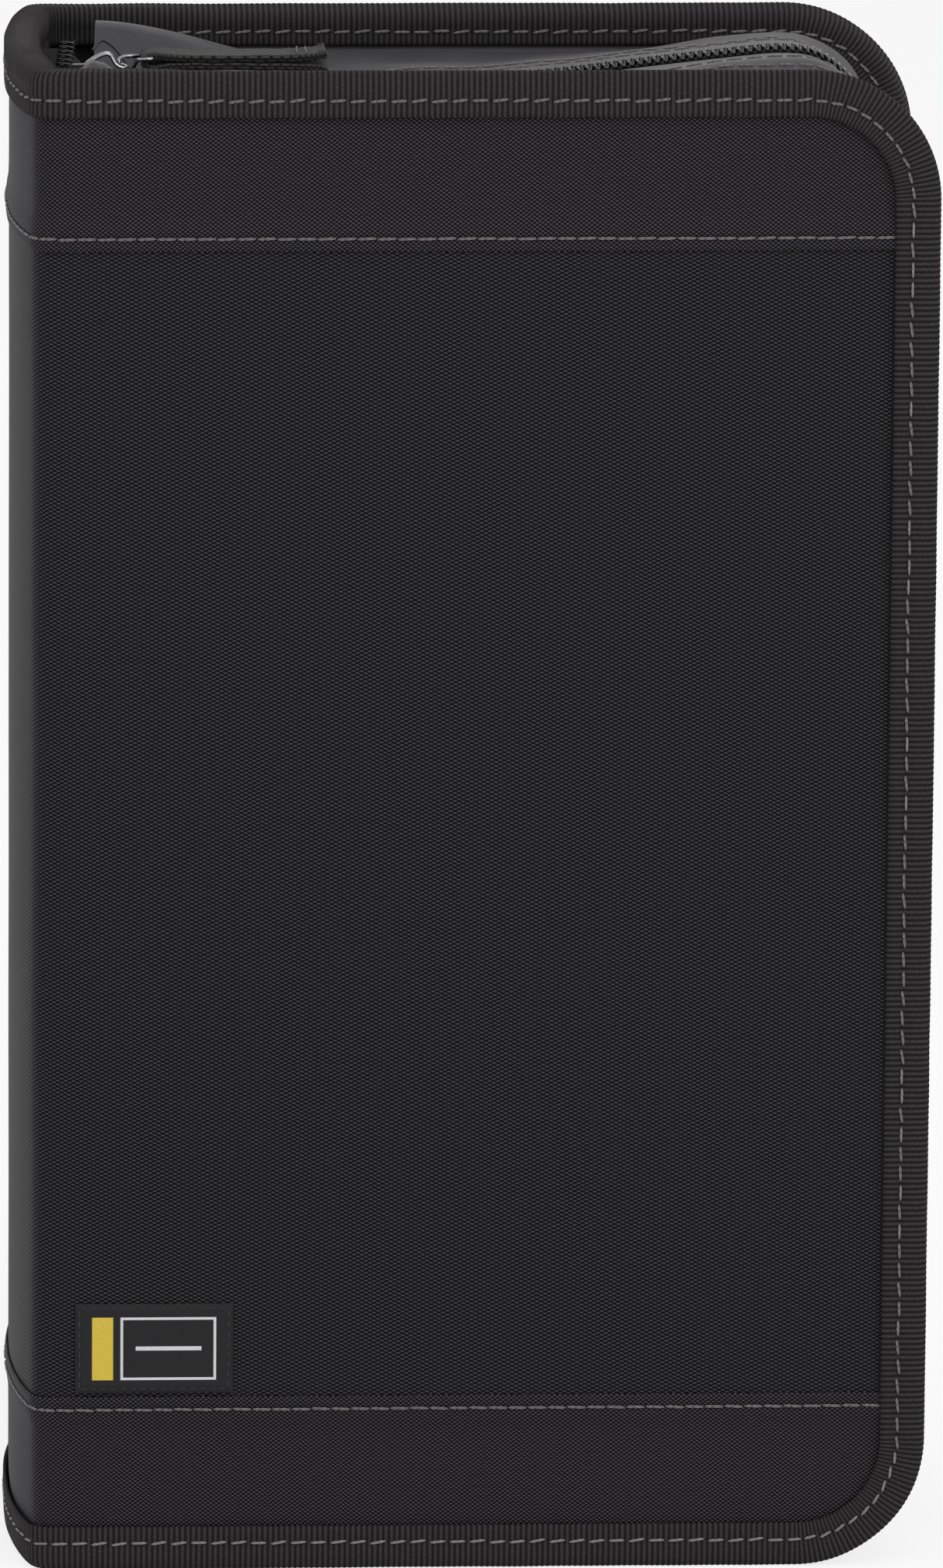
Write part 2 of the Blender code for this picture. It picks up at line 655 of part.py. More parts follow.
def build_slider(back_hinge):
    """The slider: upper and lower plates joined by a post, with lips that hold the coils, and a bridge."""
    frame = chain_frame()
    slide = joint_empty("zip_slide_axis", frame.translation)
    slide.parent = back_hinge
    slide.matrix_parent_inverse = back_hinge.matrix_world.inverted()
    half = COIL_OUTER + 2 * CLEARANCE + SLIDER_FLANGE
    coil_top = COIL_HEIGHT - COIL_BELOW
    top_low = coil_top + CLEARANCE
    bottom_high = -(TAPE_BELOW + TAPE_THICKNESS / 2) - SLIDER_SLOT
    lip_low = -(TAPE_BELOW - TAPE_THICKNESS / 2) + CLEARANCE
    outline = slider_outline(half)
    top = swept("zip_slider", outline, [lip_low, top_low + SLIDER_PLATE], lambda z, p: (*p, z))
    slider = piece("zip_slider", top, "slider_metal", slide)
    slider.data.transform(frame)
    margin = 5 * MM

    def add(name, low, high, operation):
        mesh = box_mesh(name, low, high)
        mesh.transform(frame)
        boolean(slider, cutter(name, mesh), operation)

    channel = half - SLIDER_FLANGE
    length = SLIDER_LENGTH / 2
    channel_low = (-length - margin, -channel, lip_low - margin)
    channel_high = (length + margin, channel, top_low)
    add("slider_channel", channel_low, channel_high, "DIFFERENCE")
    lower = swept(
        "slider_lower_plate", outline, [bottom_high - SLIDER_PLATE, bottom_high], lambda z, p: (*p, z)
    )
    lower.transform(frame)
    boolean(slider, cutter("slider_lower_plate", lower), "UNION")
    overlap = SLIDER_PLATE / 2
    post_low = (-length + CLEARANCE, -SLIDER_POST / 2, bottom_high - overlap)
    post_high = (-length + SLIDER_POST_LENGTH, SLIDER_POST / 2, top_low + overlap)
    add("slider_post", post_low, post_high, "UNION")
    bridge_base = top_low + SLIDER_PLATE
    reach = BRIDGE_LENGTH / 2
    middle = -SLIDER_LENGTH / 2 + SLIDER_NOSE + reach / 2
    shoulder, crown = bridge_base + BRIDGE_HEIGHT * 0.55, bridge_base + BRIDGE_HEIGHT
    arch = [(middle - reach, bridge_base - overlap), (middle - reach, shoulder)]
    arch += [(middle - reach * 0.6, crown), (middle + reach * 0.6, crown)]
    arch += [(middle + reach, shoulder), (middle + reach, bridge_base - overlap)]
    bridge = plate_mesh("slider_bridge", arch, -BRIDGE_WIDTH / 2, BRIDGE_WIDTH / 2)
    bridge.transform(frame)
    boolean(slider, cutter("slider_bridge", bridge), "UNION")
    hole_low = (middle - reach + BRIDGE_WALL, -BRIDGE_WIDTH, bridge_base)
    hole_high = (middle + reach - BRIDGE_WALL, BRIDGE_WIDTH, bridge_base + BRIDGE_HEIGHT - BRIDGE_WALL)
    add("slider_bridge_hole", hole_low, hole_high, "DIFFERENCE")
    pivot = frame @ Vector((middle, 0, (hole_low[2] + hole_high[2]) / 2))
    return slide, pivot


def wire_loop(name, points, frame, parent):
    """A closed loop of round wire through the given points."""
    curve = bpy.data.curves.new(name, "CURVE")
    curve.dimensions = "3D"
    curve.bevel_depth = WIRE_DIAMETER / 2
    curve.bevel_resolution = 1
    spline = curve.splines.new("POLY")
    spline.points.add(len(points) - 1)
    for point, place in zip(spline.points, points):
        point.co = (*(frame @ Vector(place)), 1)
    spline.use_cyclic_u = True
    curve.materials.append(finish_of("wire"))
    wire = bpy.data.objects.new(name, curve)
    WALLET.objects.link(wire)
    wire.parent = parent
    bpy.context.view_layer.update()
    wire.matrix_parent_inverse = parent.matrix_world.inverted()


def both_sides(half):
    """One side of a loop, given as (x, y, z) points from bar to bar, with the other side added."""
    return half + [(x, -y, z) for x, y, z in reversed(half)]


def build_pull(slide, pivot):
    """A wire ring in the slider's bridge, a wire link on it, and the folded tape that is gripped."""
    frame = Matrix.Translation(pivot) @ Matrix.Rotation(-CHAIN_SLOPE, 4, "Y")
    ring_axis = joint_empty("ring_swing_axis", pivot)
    ring_axis.parent = slide
    ring_axis.matrix_parent_inverse = slide.matrix_world.inverted()
    half, reach, arch = RING_WIDTH / 2, RING_REACH, RING_ARCH
    ring = [
        (0, 0.72 * half, 0),
        (0.06 * reach, half, 0.08 * arch),
        (0.32 * reach, half, 0.72 * arch),
        (0.55 * reach, half, arch),
        (0.72 * reach, half, arch),
        (0.82 * reach, half, arch * 0.9),
        (0.97 * reach, half * 0.97, RING_END_RISE + 0.08 * arch),
        (reach, 0.72 * half, RING_END_RISE),
    ]
    wire_loop("slider_ring", both_sides(ring), frame, ring_axis)
    far_bar = frame @ Vector((reach, 0, RING_END_RISE))
    link_axis = joint_empty("link_swing_axis", far_bar)
    link_axis.parent = ring_axis
    link_axis.matrix_parent_inverse = ring_axis.matrix_world.inverted()
    near, wide = LINK_NEAR_WIDTH / 2, LINK_WIDTH / 2
    start, end = -LINK_SETBACK, LINK_REACH
    one_side = [(start, near, LINK_TWIST), (end * 0.22, near, LINK_TWIST)]
    one_side += [(end * 0.62, wide, 0.3 * LINK_TWIST), (end * 0.9, wide, 0), (end, wide * 0.86, 0)]
    link = one_side + [(x, -y, -z) for x, y, z in reversed(one_side)]
    link_frame = Matrix.Translation(far_bar) @ Matrix.Rotation(-CHAIN_SLOPE - PULL_TILT, 4, "Y")
    wire_loop("pull_link", link, link_frame, link_axis)
    build_pull_tape(link_axis, link_frame @ Matrix.Translation((end, 0, 0)))


def build_pull_tape(parent, frame):
    """A tape folded round the link's far bar, with its two ends sewn together and splayed."""
    eye = WIRE_DIAMETER / 2 + CLEARANCE
    outer = eye + PULL_CLOTH
    turn = [math.radians(60 + 240 * i / 8) for i in range(9)]
    around = [(outer * math.cos(a), outer * math.sin(a)) for a in turn]
    splay = PULL_LENGTH - 6 * MM
    half = PULL_CLOTH + CLEARANCE / 2
    lower = [(3 * outer, -half), (splay, -half), (PULL_LENGTH, -half - PULL_SPLAY)]
    upper = [(x, -z) for x, z in reversed(lower)]
    mesh = plate_mesh("pull_tape", around + lower + upper, -PULL_WIDTH / 2, PULL_WIDTH / 2)
    mesh.transform(frame)
    tape = piece("pull_tape", mesh, "zip_tape", parent)
    hole = [(eye * math.cos(math.radians(36 * i)), eye * math.sin(math.radians(36 * i))) for i in range(10)]
    through = plate_mesh("pull_tape_eye", hole, -PULL_WIDTH, PULL_WIDTH)
    through.transform(frame)
    boolean(tape, cutter("pull_tape_eye", through), "DIFFERENCE")


ROOT = joint_empty("spine_root", (0, 0, 0))
build_spine(ROOT)
build_pages(ROOT)
FRONT_HINGE = build_cover(-1, "front")
build_label(FRONT_HINGE)
BACK_HINGE = build_cover(1, "back")
SLIDE, PIVOT = build_slider(BACK_HINGE)
build_pull(SLIDE, PIVOT)
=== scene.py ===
"""A zip-round disc wallet in black woven nylon, closed and standing on its lower edge.

The spine is at -X, the front cover faces -Y, and the zip runs round the other three sides.
The file follows the wallet as it is put together, from the outer cloth to the sleeve pages.
"""
import json
import math
import random

import bmesh
import bpy
from mathutils import Matrix, Vector, noise


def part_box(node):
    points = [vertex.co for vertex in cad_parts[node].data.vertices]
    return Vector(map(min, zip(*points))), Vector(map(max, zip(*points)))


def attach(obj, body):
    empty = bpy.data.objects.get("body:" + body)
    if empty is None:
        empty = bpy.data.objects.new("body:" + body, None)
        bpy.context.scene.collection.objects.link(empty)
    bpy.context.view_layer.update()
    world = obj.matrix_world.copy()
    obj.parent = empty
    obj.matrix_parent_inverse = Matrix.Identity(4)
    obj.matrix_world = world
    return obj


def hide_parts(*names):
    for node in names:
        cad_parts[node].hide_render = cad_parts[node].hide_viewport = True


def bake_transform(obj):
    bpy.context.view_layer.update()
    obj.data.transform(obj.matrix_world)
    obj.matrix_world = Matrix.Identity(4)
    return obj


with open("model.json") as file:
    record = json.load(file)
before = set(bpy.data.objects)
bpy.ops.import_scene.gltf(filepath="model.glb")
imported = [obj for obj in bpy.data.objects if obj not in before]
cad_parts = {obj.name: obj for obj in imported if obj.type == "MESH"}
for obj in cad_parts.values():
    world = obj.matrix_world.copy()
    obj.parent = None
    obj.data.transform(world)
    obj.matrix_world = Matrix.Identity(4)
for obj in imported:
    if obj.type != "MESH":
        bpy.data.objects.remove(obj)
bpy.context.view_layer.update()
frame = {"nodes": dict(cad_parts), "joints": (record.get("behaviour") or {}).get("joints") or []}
MM = 0.001

# The camera stands back from the front cover, a little to the spine's side and above.
# Its lens and place give the wallet the size and the slight foreshortening of a catalogue picture.
CAMERA_AZIMUTH = math.radians(-3.02)
CAMERA_ELEVATION = math.radians(12.77)
CAMERA_ROLL = math.radians(0.425)
CAMERA_DISTANCE = 3.0
CAMERA_TARGET = Vector((1.93, 0, 144.93)) * MM
camera_data = bpy.data.cameras.new("camera")
camera_data.lens = 360.1
camera_data.sensor_width = 36
camera = bpy.data.objects.new("camera", camera_data)
bpy.context.scene.collection.objects.link(camera)
away = Vector((
    math.sin(CAMERA_AZIMUTH) * math.cos(CAMERA_ELEVATION),
    -math.cos(CAMERA_AZIMUTH) * math.cos(CAMERA_ELEVATION),
    math.sin(CAMERA_ELEVATION),
))
camera.location = CAMERA_TARGET + away * CAMERA_DISTANCE
facing = away.to_track_quat("Z", "Y").to_matrix() @ Matrix.Rotation(CAMERA_ROLL, 3, "Z")
camera.rotation_euler = facing.to_euler()
bpy.context.scene.camera = camera
bpy.context.scene.view_settings.view_transform = "Standard"


# The table is a plain pale sheet that runs out to the white of the studio.
# It takes the wallet's soft shadow, and the eye and shiny parts see the studio as white.
def add_node(tree, kind, *values, **settings):
    """A node whose inputs are filled in order: a socket is linked, a number is written in."""
    node = tree.nodes.new(kind)
    for key, value in settings.items():
        setattr(node, key, value)
    for socket, value in zip(node.inputs, values):
        if isinstance(value, bpy.types.NodeSocket):
            tree.links.new(value, socket)
        elif value is not None:
            socket.default_value = value
    return node.outputs[0]


def figure(tree, operation, *values):
    """One step of arithmetic in a material."""
    return add_node(tree, "ShaderNodeMath", *values, operation=operation)


def seen_directly(tree):
    """1 for rays from the eye, from shiny surfaces and through clear ones."""
    path = tree.nodes.new("ShaderNodeLightPath")
    seen = figure(tree, "ADD", path.outputs["Is Camera Ray"], path.outputs["Is Glossy Ray"])
    seen = figure(tree, "ADD", seen, path.outputs["Is Transmission Ray"])
    return figure(tree, "MINIMUM", seen, 1.0)


world = bpy.data.worlds.new("studio")
world.use_nodes = True
bpy.context.scene.world = world
sky = world.node_tree.nodes["Background"]
sky.inputs["Color"].default_value = (1, 1, 1, 1)
sky_level = figure(world.node_tree, "MULTIPLY_ADD", seen_directly(world.node_tree), 0.42, 0.58)
world.node_tree.links.new(sky_level, sky.inputs["Strength"])

bm = bmesh.new()
bmesh.ops.create_grid(bm, x_segments=1, y_segments=1, size=6)
table_mesh = bpy.data.meshes.new("table")
bm.to_mesh(table_mesh)
bm.free()
table = bpy.data.objects.new("table", table_mesh)
bpy.context.scene.collection.objects.link(table)
table_paint = bpy.data.materials.new("table_paint")
table_paint.use_nodes = True
tree = table_paint.node_tree
tree.nodes["Principled BSDF"].inputs["Base Color"].default_value = (0.9, 0.9, 0.9, 1)
tree.nodes["Principled BSDF"].inputs["Roughness"].default_value = 0.9
glow = add_node(tree, "ShaderNodeEmission", (1, 1, 1, 1), 1.0)
share = figure(tree, "MULTIPLY", seen_directly(tree), 0.8)
mixed = add_node(tree, "ShaderNodeMixShader", share, tree.nodes["Principled BSDF"].outputs[0], glow)
tree.links.new(mixed, tree.nodes["Material Output"].inputs["Surface"])
table_mesh.materials.append(table_paint)

for name, place, size, power in (
    ("overhead_lamp", (0.5, -1.1, 1.9), 1.6, 19),
    ("right_lamp", (1.9, -1.2, 0.7), 1.2, 11),
    ("left_lamp", (-2.0, -0.3, 0.8), 0.9, 7),
):
    lamp_data = bpy.data.lights.new(name, "AREA")
    lamp_data.size = size
    lamp_data.energy = power
    lamp = bpy.data.objects.new(name, lamp_data)
    lamp.location = place
    lamp.rotation_euler = (Vector(place) - Vector((0, 0, 0.15))).to_track_quat("Z", "Y").to_euler()
    bpy.context.scene.collection.objects.link(lamp)


# Outer cloth of each cover: one stretch of plain-woven nylon from the middle of the spine, round the soft
# fold and over the cover's board. The edge tape holds it on three sides and the end bands lap over it.
HEIGHT = 290 * MM
FREE_EDGE = 87.5 * MM
CORNER_RADIUS = 25 * MM
CORNER_X = FREE_EDGE - CORNER_RADIUS
CORNER_RUN = CORNER_RADIUS * math.pi / 2
RIM_MIDDLE = CORNER_X + CORNER_RUN + HEIGHT / 2 - CORNER_RADIUS
TAPE_OUT = 38.5 * MM
TAPE_DEPTH = 6.9 * MM
SPINE_DEPTH = 5.2 * MM
CLOTH_DEPTH = 1.1 * MM
EDGE_INSET = 1.1 * MM
BAND_HEIGHT = 31 * MM
WALL_PLAN = (
    ((-87.5, 0), (-82.3, 0)),
    ((-87.4, 8), (-82.2, 7)),
    ((-86.95, 16), (-81.75, 14)),
    ((-86.04, 24), (-80.9, 21)),
    ((-85.0, 30), (-79.9, 26)),
    ((-84.0, 34.2), (-79.0, 29.3)),
    ((-83.1, 36.5), (-78.5, 30.9)),
    ((-81.5, 37.95), (-77.9, 31.4)),
    ((-79.3, 38.45), (-77.2, 31.6)),
    ((-75, 38.5), (-74.2, 31.6)),
    ((-66, 38.5), (-66, 31.6)),
)


def through(points, t):
    """A point on the smooth line through some points, at a share of the way along them."""
    at = min(max(t, 0), 1) * (len(points) - 1)
    i = min(int(at), len(points) - 2)
    f = at - i
    p1, p2 = Vector(points[i]), Vector(points[i + 1])
    p0 = Vector(points[i - 1]) if i > 0 else p1 * 2 - p2
    p3 = Vector(points[i + 2]) if i + 2 < len(points) else p2 * 2 - p1
    return (p1 * 2 + (p2 - p0) * f + (p0 * 2 - p1 * 5 + p2 * 4 - p3) * f * f
            + (p1 * 3 - p0 - p2 * 3 + p3) * f * f * f) / 2


def ease(low, high, value):
    """0 below low, 1 above high, and a smooth rise between."""
    t = min(max((value - low) / (high - low), 0), 1)
    return t * t * (3 - 2 * t)


wall_steps = []
for i in range(241):
    outer = through([pair[0] for pair in WALL_PLAN], i / 240) * MM
    inner = through([pair[1] for pair in WALL_PLAN], i / 240) * MM
    run = wall_steps[-1][0] + (outer - wall_steps[-1][1]).length if wall_steps else 0.0
    wall_steps.append((run, outer, inner))
WALL_RUN = wall_steps[-1][0]
SPINE_RUN = WALL_RUN - WALL_PLAN[-1][0][0] * MM


def wall_at(run, depth):
    """A plan point on the front side, by its run from the spine's middle and its depth inside the face."""
    if run >= WALL_RUN:
        return Vector((run - SPINE_RUN, TAPE_OUT - depth))
    low, high = 0, len(wall_steps) - 1
    while high - low > 1:
        middle = (low + high) // 2
        low, high = (middle, high) if wall_steps[middle][0] <= run else (low, middle)
    (r0, a0, b0), (r1, a1, b1) = wall_steps[low], wall_steps[high]
    f = (run - r0) / (r1 - r0)
    outer, inner = a0.lerp(a1, f), b0.lerp(b1, f)
    thickness = SPINE_DEPTH + (TAPE_DEPTH - SPINE_DEPTH) * ease(WALL_RUN * 0.5, WALL_RUN * 0.8, run)
    return outer.lerp(inner, depth / thickness)


def rim_at(run, inset):
    """(x, z) inside the case's outline; run is x along the top edge, and goes on round the free side."""
    turned = run > RIM_MIDDLE
    run = 2 * RIM_MIDDLE - run if turned else run
    if run < CORNER_X:
        x, z = run, HEIGHT - inset
    elif run < CORNER_X + CORNER_RUN:
        angle = math.pi / 2 - (run - CORNER_X) / CORNER_RADIUS
        x = CORNER_X + (CORNER_RADIUS - inset) * math.cos(angle)
        z = HEIGHT - CORNER_RADIUS + (CORNER_RADIUS - inset) * math.sin(angle)
    else:
        x, z = FREE_EDGE - inset, HEIGHT - CORNER_RADIUS - (run - CORNER_X - CORNER_RUN)
    return x, HEIGHT - z if turned else z


def edge_x(z):
    """How far the cloth reaches towards the free edge at a height, round the corners."""
    radius = CORNER_RADIUS - EDGE_INSET
    rise = max(CORNER_RADIUS - z, z - HEIGHT + CORNER_RADIUS, 0)
    return CORNER_X + math.sqrt(max(radius * radius - rise * rise, 0))


def settle(bm, name):
    """The finished mesh as an object at the origin."""
    mesh = bpy.data.meshes.new(name)
    for face in bm.faces:
        face.smooth = True
    bm.to_mesh(mesh)
    bm.free()
    obj = bpy.data.objects.new(name, mesh)
    bpy.context.scene.collection.objects.link(obj)
    return obj


def lay_cloth(name, columns, rows, place, measure, flip=False, closed=False):
    """A flat grid carried into place, whose UV map keeps the cloth's own flat measure in metres."""
    bm = bmesh.new()
    cut = bm.loops.layers.uv.new("cut")
    bmesh.ops.create_grid(bm, x_segments=columns, y_segments=rows, size=0.5)
    for face in bm.faces:
        for loop in face.loops:
            loop[cut].uv = measure(loop.vert.co.x + 0.5, loop.vert.co.y + 0.5)
    for vert in bm.verts:
        vert.co = place(vert.co.x + 0.5, vert.co.y + 0.5)
    if closed:
        bmesh.ops.remove_doubles(bm, verts=bm.verts, dist=1e-7)
        rims = [edge for edge in bm.edges if edge.is_boundary]
        bmesh.ops.holes_fill(bm, edges=rims, sides=0)
    if flip:
        bmesh.ops.reverse_faces(bm, faces=bm.faces)
    for edge in bm.edges:
        edge.smooth = not edge.is_boundary
    return settle(bm, name)


def thicken(obj, thickness, offset=-1):
    """Give a laid cloth its thickness: inwards from its face, or to both sides for an offset of 0."""
    solid = obj.modifiers.new("thickness", "SOLIDIFY")
    solid.thickness = thickness
    solid.offset = offset


def new_finish(name, roughness, specular=0.2, metallic=0.0):
    """A material and the shader that its pattern goes into."""
    material = bpy.data.materials.new(name)
    material.use_nodes = True
    shader = material.node_tree.nodes["Principled BSDF"]
    shader.inputs["Roughness"].default_value = roughness
    shader.inputs["Specular IOR Level"].default_value = specular
    shader.inputs["Metallic"].default_value = metallic
    return material, material.node_tree, shader


def shade(tree, factor, *stops):
    """A colour that runs between stops of (position, colour)."""
    ramp = tree.nodes.new("ShaderNodeValToRGB")
    tree.links.new(factor, ramp.inputs[0])
    elements = ramp.color_ramp.elements
    while len(elements) < len(stops):
        elements.new(0.5)
    for element, (position, colour) in zip(elements, stops):
        element.position = position
        element.color = (*colour, 1)
    return ramp.outputs[0]


def tint(tree, shader, factor, *stops):
    """Run the shader's colour between stops."""
    tree.links.new(shade(tree, factor, *stops), shader.inputs["Base Color"])


def raise_relief(tree, shader, height, distance, strength=1.0):
    """Let the light fall on the shader as on a surface of that relief."""
    bump = tree.nodes.new("ShaderNodeBump")
    bump.inputs["Strength"].default_value = strength
    bump.inputs["Distance"].default_value = distance
    tree.links.new(height, bump.inputs["Height"])
    tree.links.new(bump.outputs[0], shader.inputs["Normal"])


def cut_measure(tree):
    """The cloth's own flat measure: along, across, and both as a vector."""
    uv = add_node(tree, "ShaderNodeUVMap", uv_map="cut")
    parts = tree.nodes.new("ShaderNodeSeparateXYZ")
    tree.links.new(uv, parts.inputs[0])
    return parts.outputs[0], parts.outputs[1], uv


def sine_along(tree, measure, pitch, operation="SINE"):
    """A sine along a measure, once in every pitch."""
    return figure(tree, operation, figure(tree, "MULTIPLY", measure, 2 * math.pi / pitch))


def floats(tree, along, across, pitch_along, pitch_across, length, width):
    """Brick-set thread floats: 1 on the crown of each float, falling to 0 between them."""
    row = figure(tree, "DIVIDE", across, pitch_across)
    shift = figure(tree, "MULTIPLY", figure(tree, "FLOOR", row), 0.5)
    column = figure(tree, "ADD", figure(tree, "DIVIDE", along, pitch_along), shift)
    crowns = []
    for value, reach in ((column, length), (row, width)):
        off = figure(tree, "ABSOLUTE", figure(tree, "SUBTRACT", figure(tree, "FRACT", value), 0.5))
        off = figure(tree, "POWER", figure(tree, "MULTIPLY", off, 2 / reach), 2.5)
        crowns.append(figure(tree, "MAXIMUM", figure(tree, "SUBTRACT", 1.0, off), 0.0))
    return figure(tree, "MULTIPLY", *crowns)


def cloth_finish(name, pitch_along, pitch_across, crown, gap, length, width):
    """Black nylon in a plain weave, its weft a little off the cut, whose thread floats catch the light."""
    material, tree, shader = new_finish(name, 0.55, 0.08)
    along, across, uv = cut_measure(tree)
    drift = add_node(tree, "ShaderNodeTexNoise", uv, None, 260.0, 2.0)
    across = figure(tree, "MULTIPLY_ADD", along, 0.035, across)
    along = figure(tree, "MULTIPLY_ADD", drift, pitch_along * 0.3, along)
    crowns = floats(tree, along, across, pitch_along, pitch_across, length, width)
    slub = add_node(tree, "ShaderNodeTexNoise", uv, None, 900.0, 2.0)
    lit = figure(tree, "MULTIPLY", crowns, figure(tree, "MULTIPLY_ADD", slub, 0.8, 0.6))
    tint(tree, shader, lit, (0.0, gap), (0.9, crown))
    raise_relief(tree, shader, crowns, 0.12 * MM, 0.8)
    return material


main_cloth = cloth_finish(
    "main_cloth", 1.55 * MM, 0.39 * MM, crown=(0.056, 0.055, 0.0600), gap=(0.002, 0.002, 0.0025),
    length=0.56, width=0.95,
)
band_cloth = cloth_finish(
    "band_cloth", 1.03 * MM, 0.395 * MM, crown=(0.068, 0.0620, 0.0720), gap=(0.002, 0.0018, 0.0024),
    length=0.62, width=0.9,
)


def cloth_point(side, run, z, lift=0.0):
    """A point on a cover's outer cloth, with the slight unevenness of cloth over board."""
    ripple = noise.noise(Vector((run * 28, z * 22, side * 7))) * 0.22 * MM * ease(0, 15 * MM, run)
    x, y = wall_at(run, CLOTH_DEPTH - lift - ripple - 0.1 * MM)
    return Vector((x, side * y, z))


for side, cover in ((-1, "front"), (1, "back")):
    low, high = BAND_HEIGHT + 0.3 * MM, HEIGHT - BAND_HEIGHT - 0.3 * MM
    reach = SPINE_RUN + FREE_EDGE - EDGE_INSET
    main_panel = lay_cloth(
        f"{cover}_main_cloth", 120, 80,
        lambda u, v: cloth_point(side, reach * u, low + (high - low) * v),
        lambda u, v: (reach * u, low + (high - low) * v),
        flip=side > 0,
    )
    main_panel.data.materials.append(main_cloth)
    thicken(main_panel, 0.5 * MM)
    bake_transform(main_panel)
    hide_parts(f"{cover}_main_panel", "spine_main_panel")


# End bands: finer plain-woven nylon across the top and the bottom of the case, spine included.
# Each band's inner edge is rolled under and sewn down over the main cloth, so it stands a little proud.
HEM_STITCH = 31.7 * MM
HEM_PROFILE = (
    (1.1, -0.25), (5, -0.2), (12, 0.0), (20, 0.0), (25, 0.02), (27.6, 0.12), (29.0, 0.34), (30.2, 0.5),
    (31.0, 0.5), (31.6, 0.36), (32.2, 0.5), (33.0, 0.62), (33.8, 0.58), (34.15, 0.42), (34.2, 0.2),
    (33.9, 0.02),
)

for side, cover in ((-1, "front"), (1, "back")):
    for end, turned in (("top", False), ("bottom", True)):

        def band_place(u, v):
            """Across the band from the edge tape to the rolled hem."""
            from_end, lift = through(HEM_PROFILE, v) * MM
            z = from_end if turned else HEIGHT - from_end
            reach = SPINE_RUN + edge_x(z)
            return cloth_point(side, reach * u, z, lift)

        def band_measure(u, v):
            from_end = through(HEM_PROFILE, v)[0] * MM
            return ((SPINE_RUN + edge_x(HEIGHT - from_end)) * u, from_end)

        band = lay_cloth(
            f"{cover}_{end}_band_cloth", 150, 34, band_place, band_measure, flip=(side > 0) == turned,
        )
        band.data.materials.append(band_cloth)
        thicken(band, 0.45 * MM)
        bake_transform(band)
        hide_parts(f"{cover}_{end}_band", f"spine_{end}_band")


# Edge tape: ribbed nylon tape folded over the edges of cloth, board and lining and sewn through both legs.
# It runs on over the spine's ends, so the two tapes meet in the middle of the spine.
RIB_PITCH = 1.05 * MM
RIB_HEIGHT = 0.11 * MM
OUTER_STITCH = 5.4 * MM
INNER_STITCH = 4.7 * MM
TAPE_SECTION = (
    (0.7, 8.4), (0.35, 8.7), (0.02, 8.55), (0.0, 7.6), (0.02, 6.3), (0.3, 5.4), (0.02, 4.5), (0.0, 3.0),
    (0.08, 1.6), (0.5, 0.55), (1.3, 0.1), (2.4, 0.0), (4.5, 0.0), (5.6, 0.1), (6.4, 0.55), (6.82, 1.4),
    (6.9, 2.6), (6.88, 3.8), (6.62, 4.7), (6.88, 5.6), (6.9, 6.5), (6.88, 7.25), (6.55, 7.4), (6.2, 7.2),
    (6.1, 1.6), (0.8, 1.6), (0.7, 8.4),
)
TAPE_RUN = 2 * (RIM_MIDDLE + SPINE_RUN)


def tape_at(side, run, depth, inset):
    """A point on a folded tape; run goes from the spine's middle, round the cover, to the middle again."""
    turned = run > TAPE_RUN / 2
    near = TAPE_RUN - run if turned else run
    if near < WALL_RUN:
        x, y = wall_at(near, depth)
        z = HEIGHT - inset
    else:
        x, z = rim_at(near - SPINE_RUN, inset)
        y = TAPE_OUT - depth
    return Vector((x, side * y, HEIGHT - z if turned else z))


tape_cloth, tree, shader = new_finish("tape_cloth", 0.8, 0.06)
along, across, uv = cut_measure(tree)
rib = sine_along(tree, along, RIB_PITCH, "COSINE")
twist = figure(tree, "MULTIPLY", along, 9000.0)
twist = figure(tree, "MULTIPLY_ADD", across, 2 * math.pi / (0.36 * MM), twist)
twist = figure(tree, "SINE", twist)
speck = add_node(tree, "ShaderNodeTexNoise", uv, None, 2600.0, 1.0)
lit = figure(tree, "MULTIPLY_ADD", rib, 0.34, 0.42)
lit = figure(tree, "MULTIPLY", lit, figure(tree, "MULTIPLY_ADD", twist, 0.28, 0.72))
lit = figure(tree, "MULTIPLY", lit, figure(tree, "MULTIPLY_ADD", speck, 1.2, 0.4))
# Painted highlight: the tape's colour is lightened towards the spine's ends, up to twice as light at the
# very end, where light falls on the rounded spine end.
spine_end = figure(tree, "MINIMUM", along, figure(tree, "SUBTRACT", TAPE_RUN, along))
painted_end_highlight = figure(tree, "SUBTRACT", 1.0, figure(tree, "DIVIDE", spine_end, 36 * MM))
painted_end_highlight = figure(tree, "MAXIMUM", painted_end_highlight, 0.0)
lit = figure(tree, "MULTIPLY", lit, figure(tree, "MULTIPLY_ADD", painted_end_highlight, 1.0, 1.0))
tint(tree, shader, lit, (0.0, (0.005, 0.0045, 0.005)), (1.0, (0.074, 0.068, 0.071)))
raise_relief(tree, shader, twist, 0.05 * MM, 0.6)

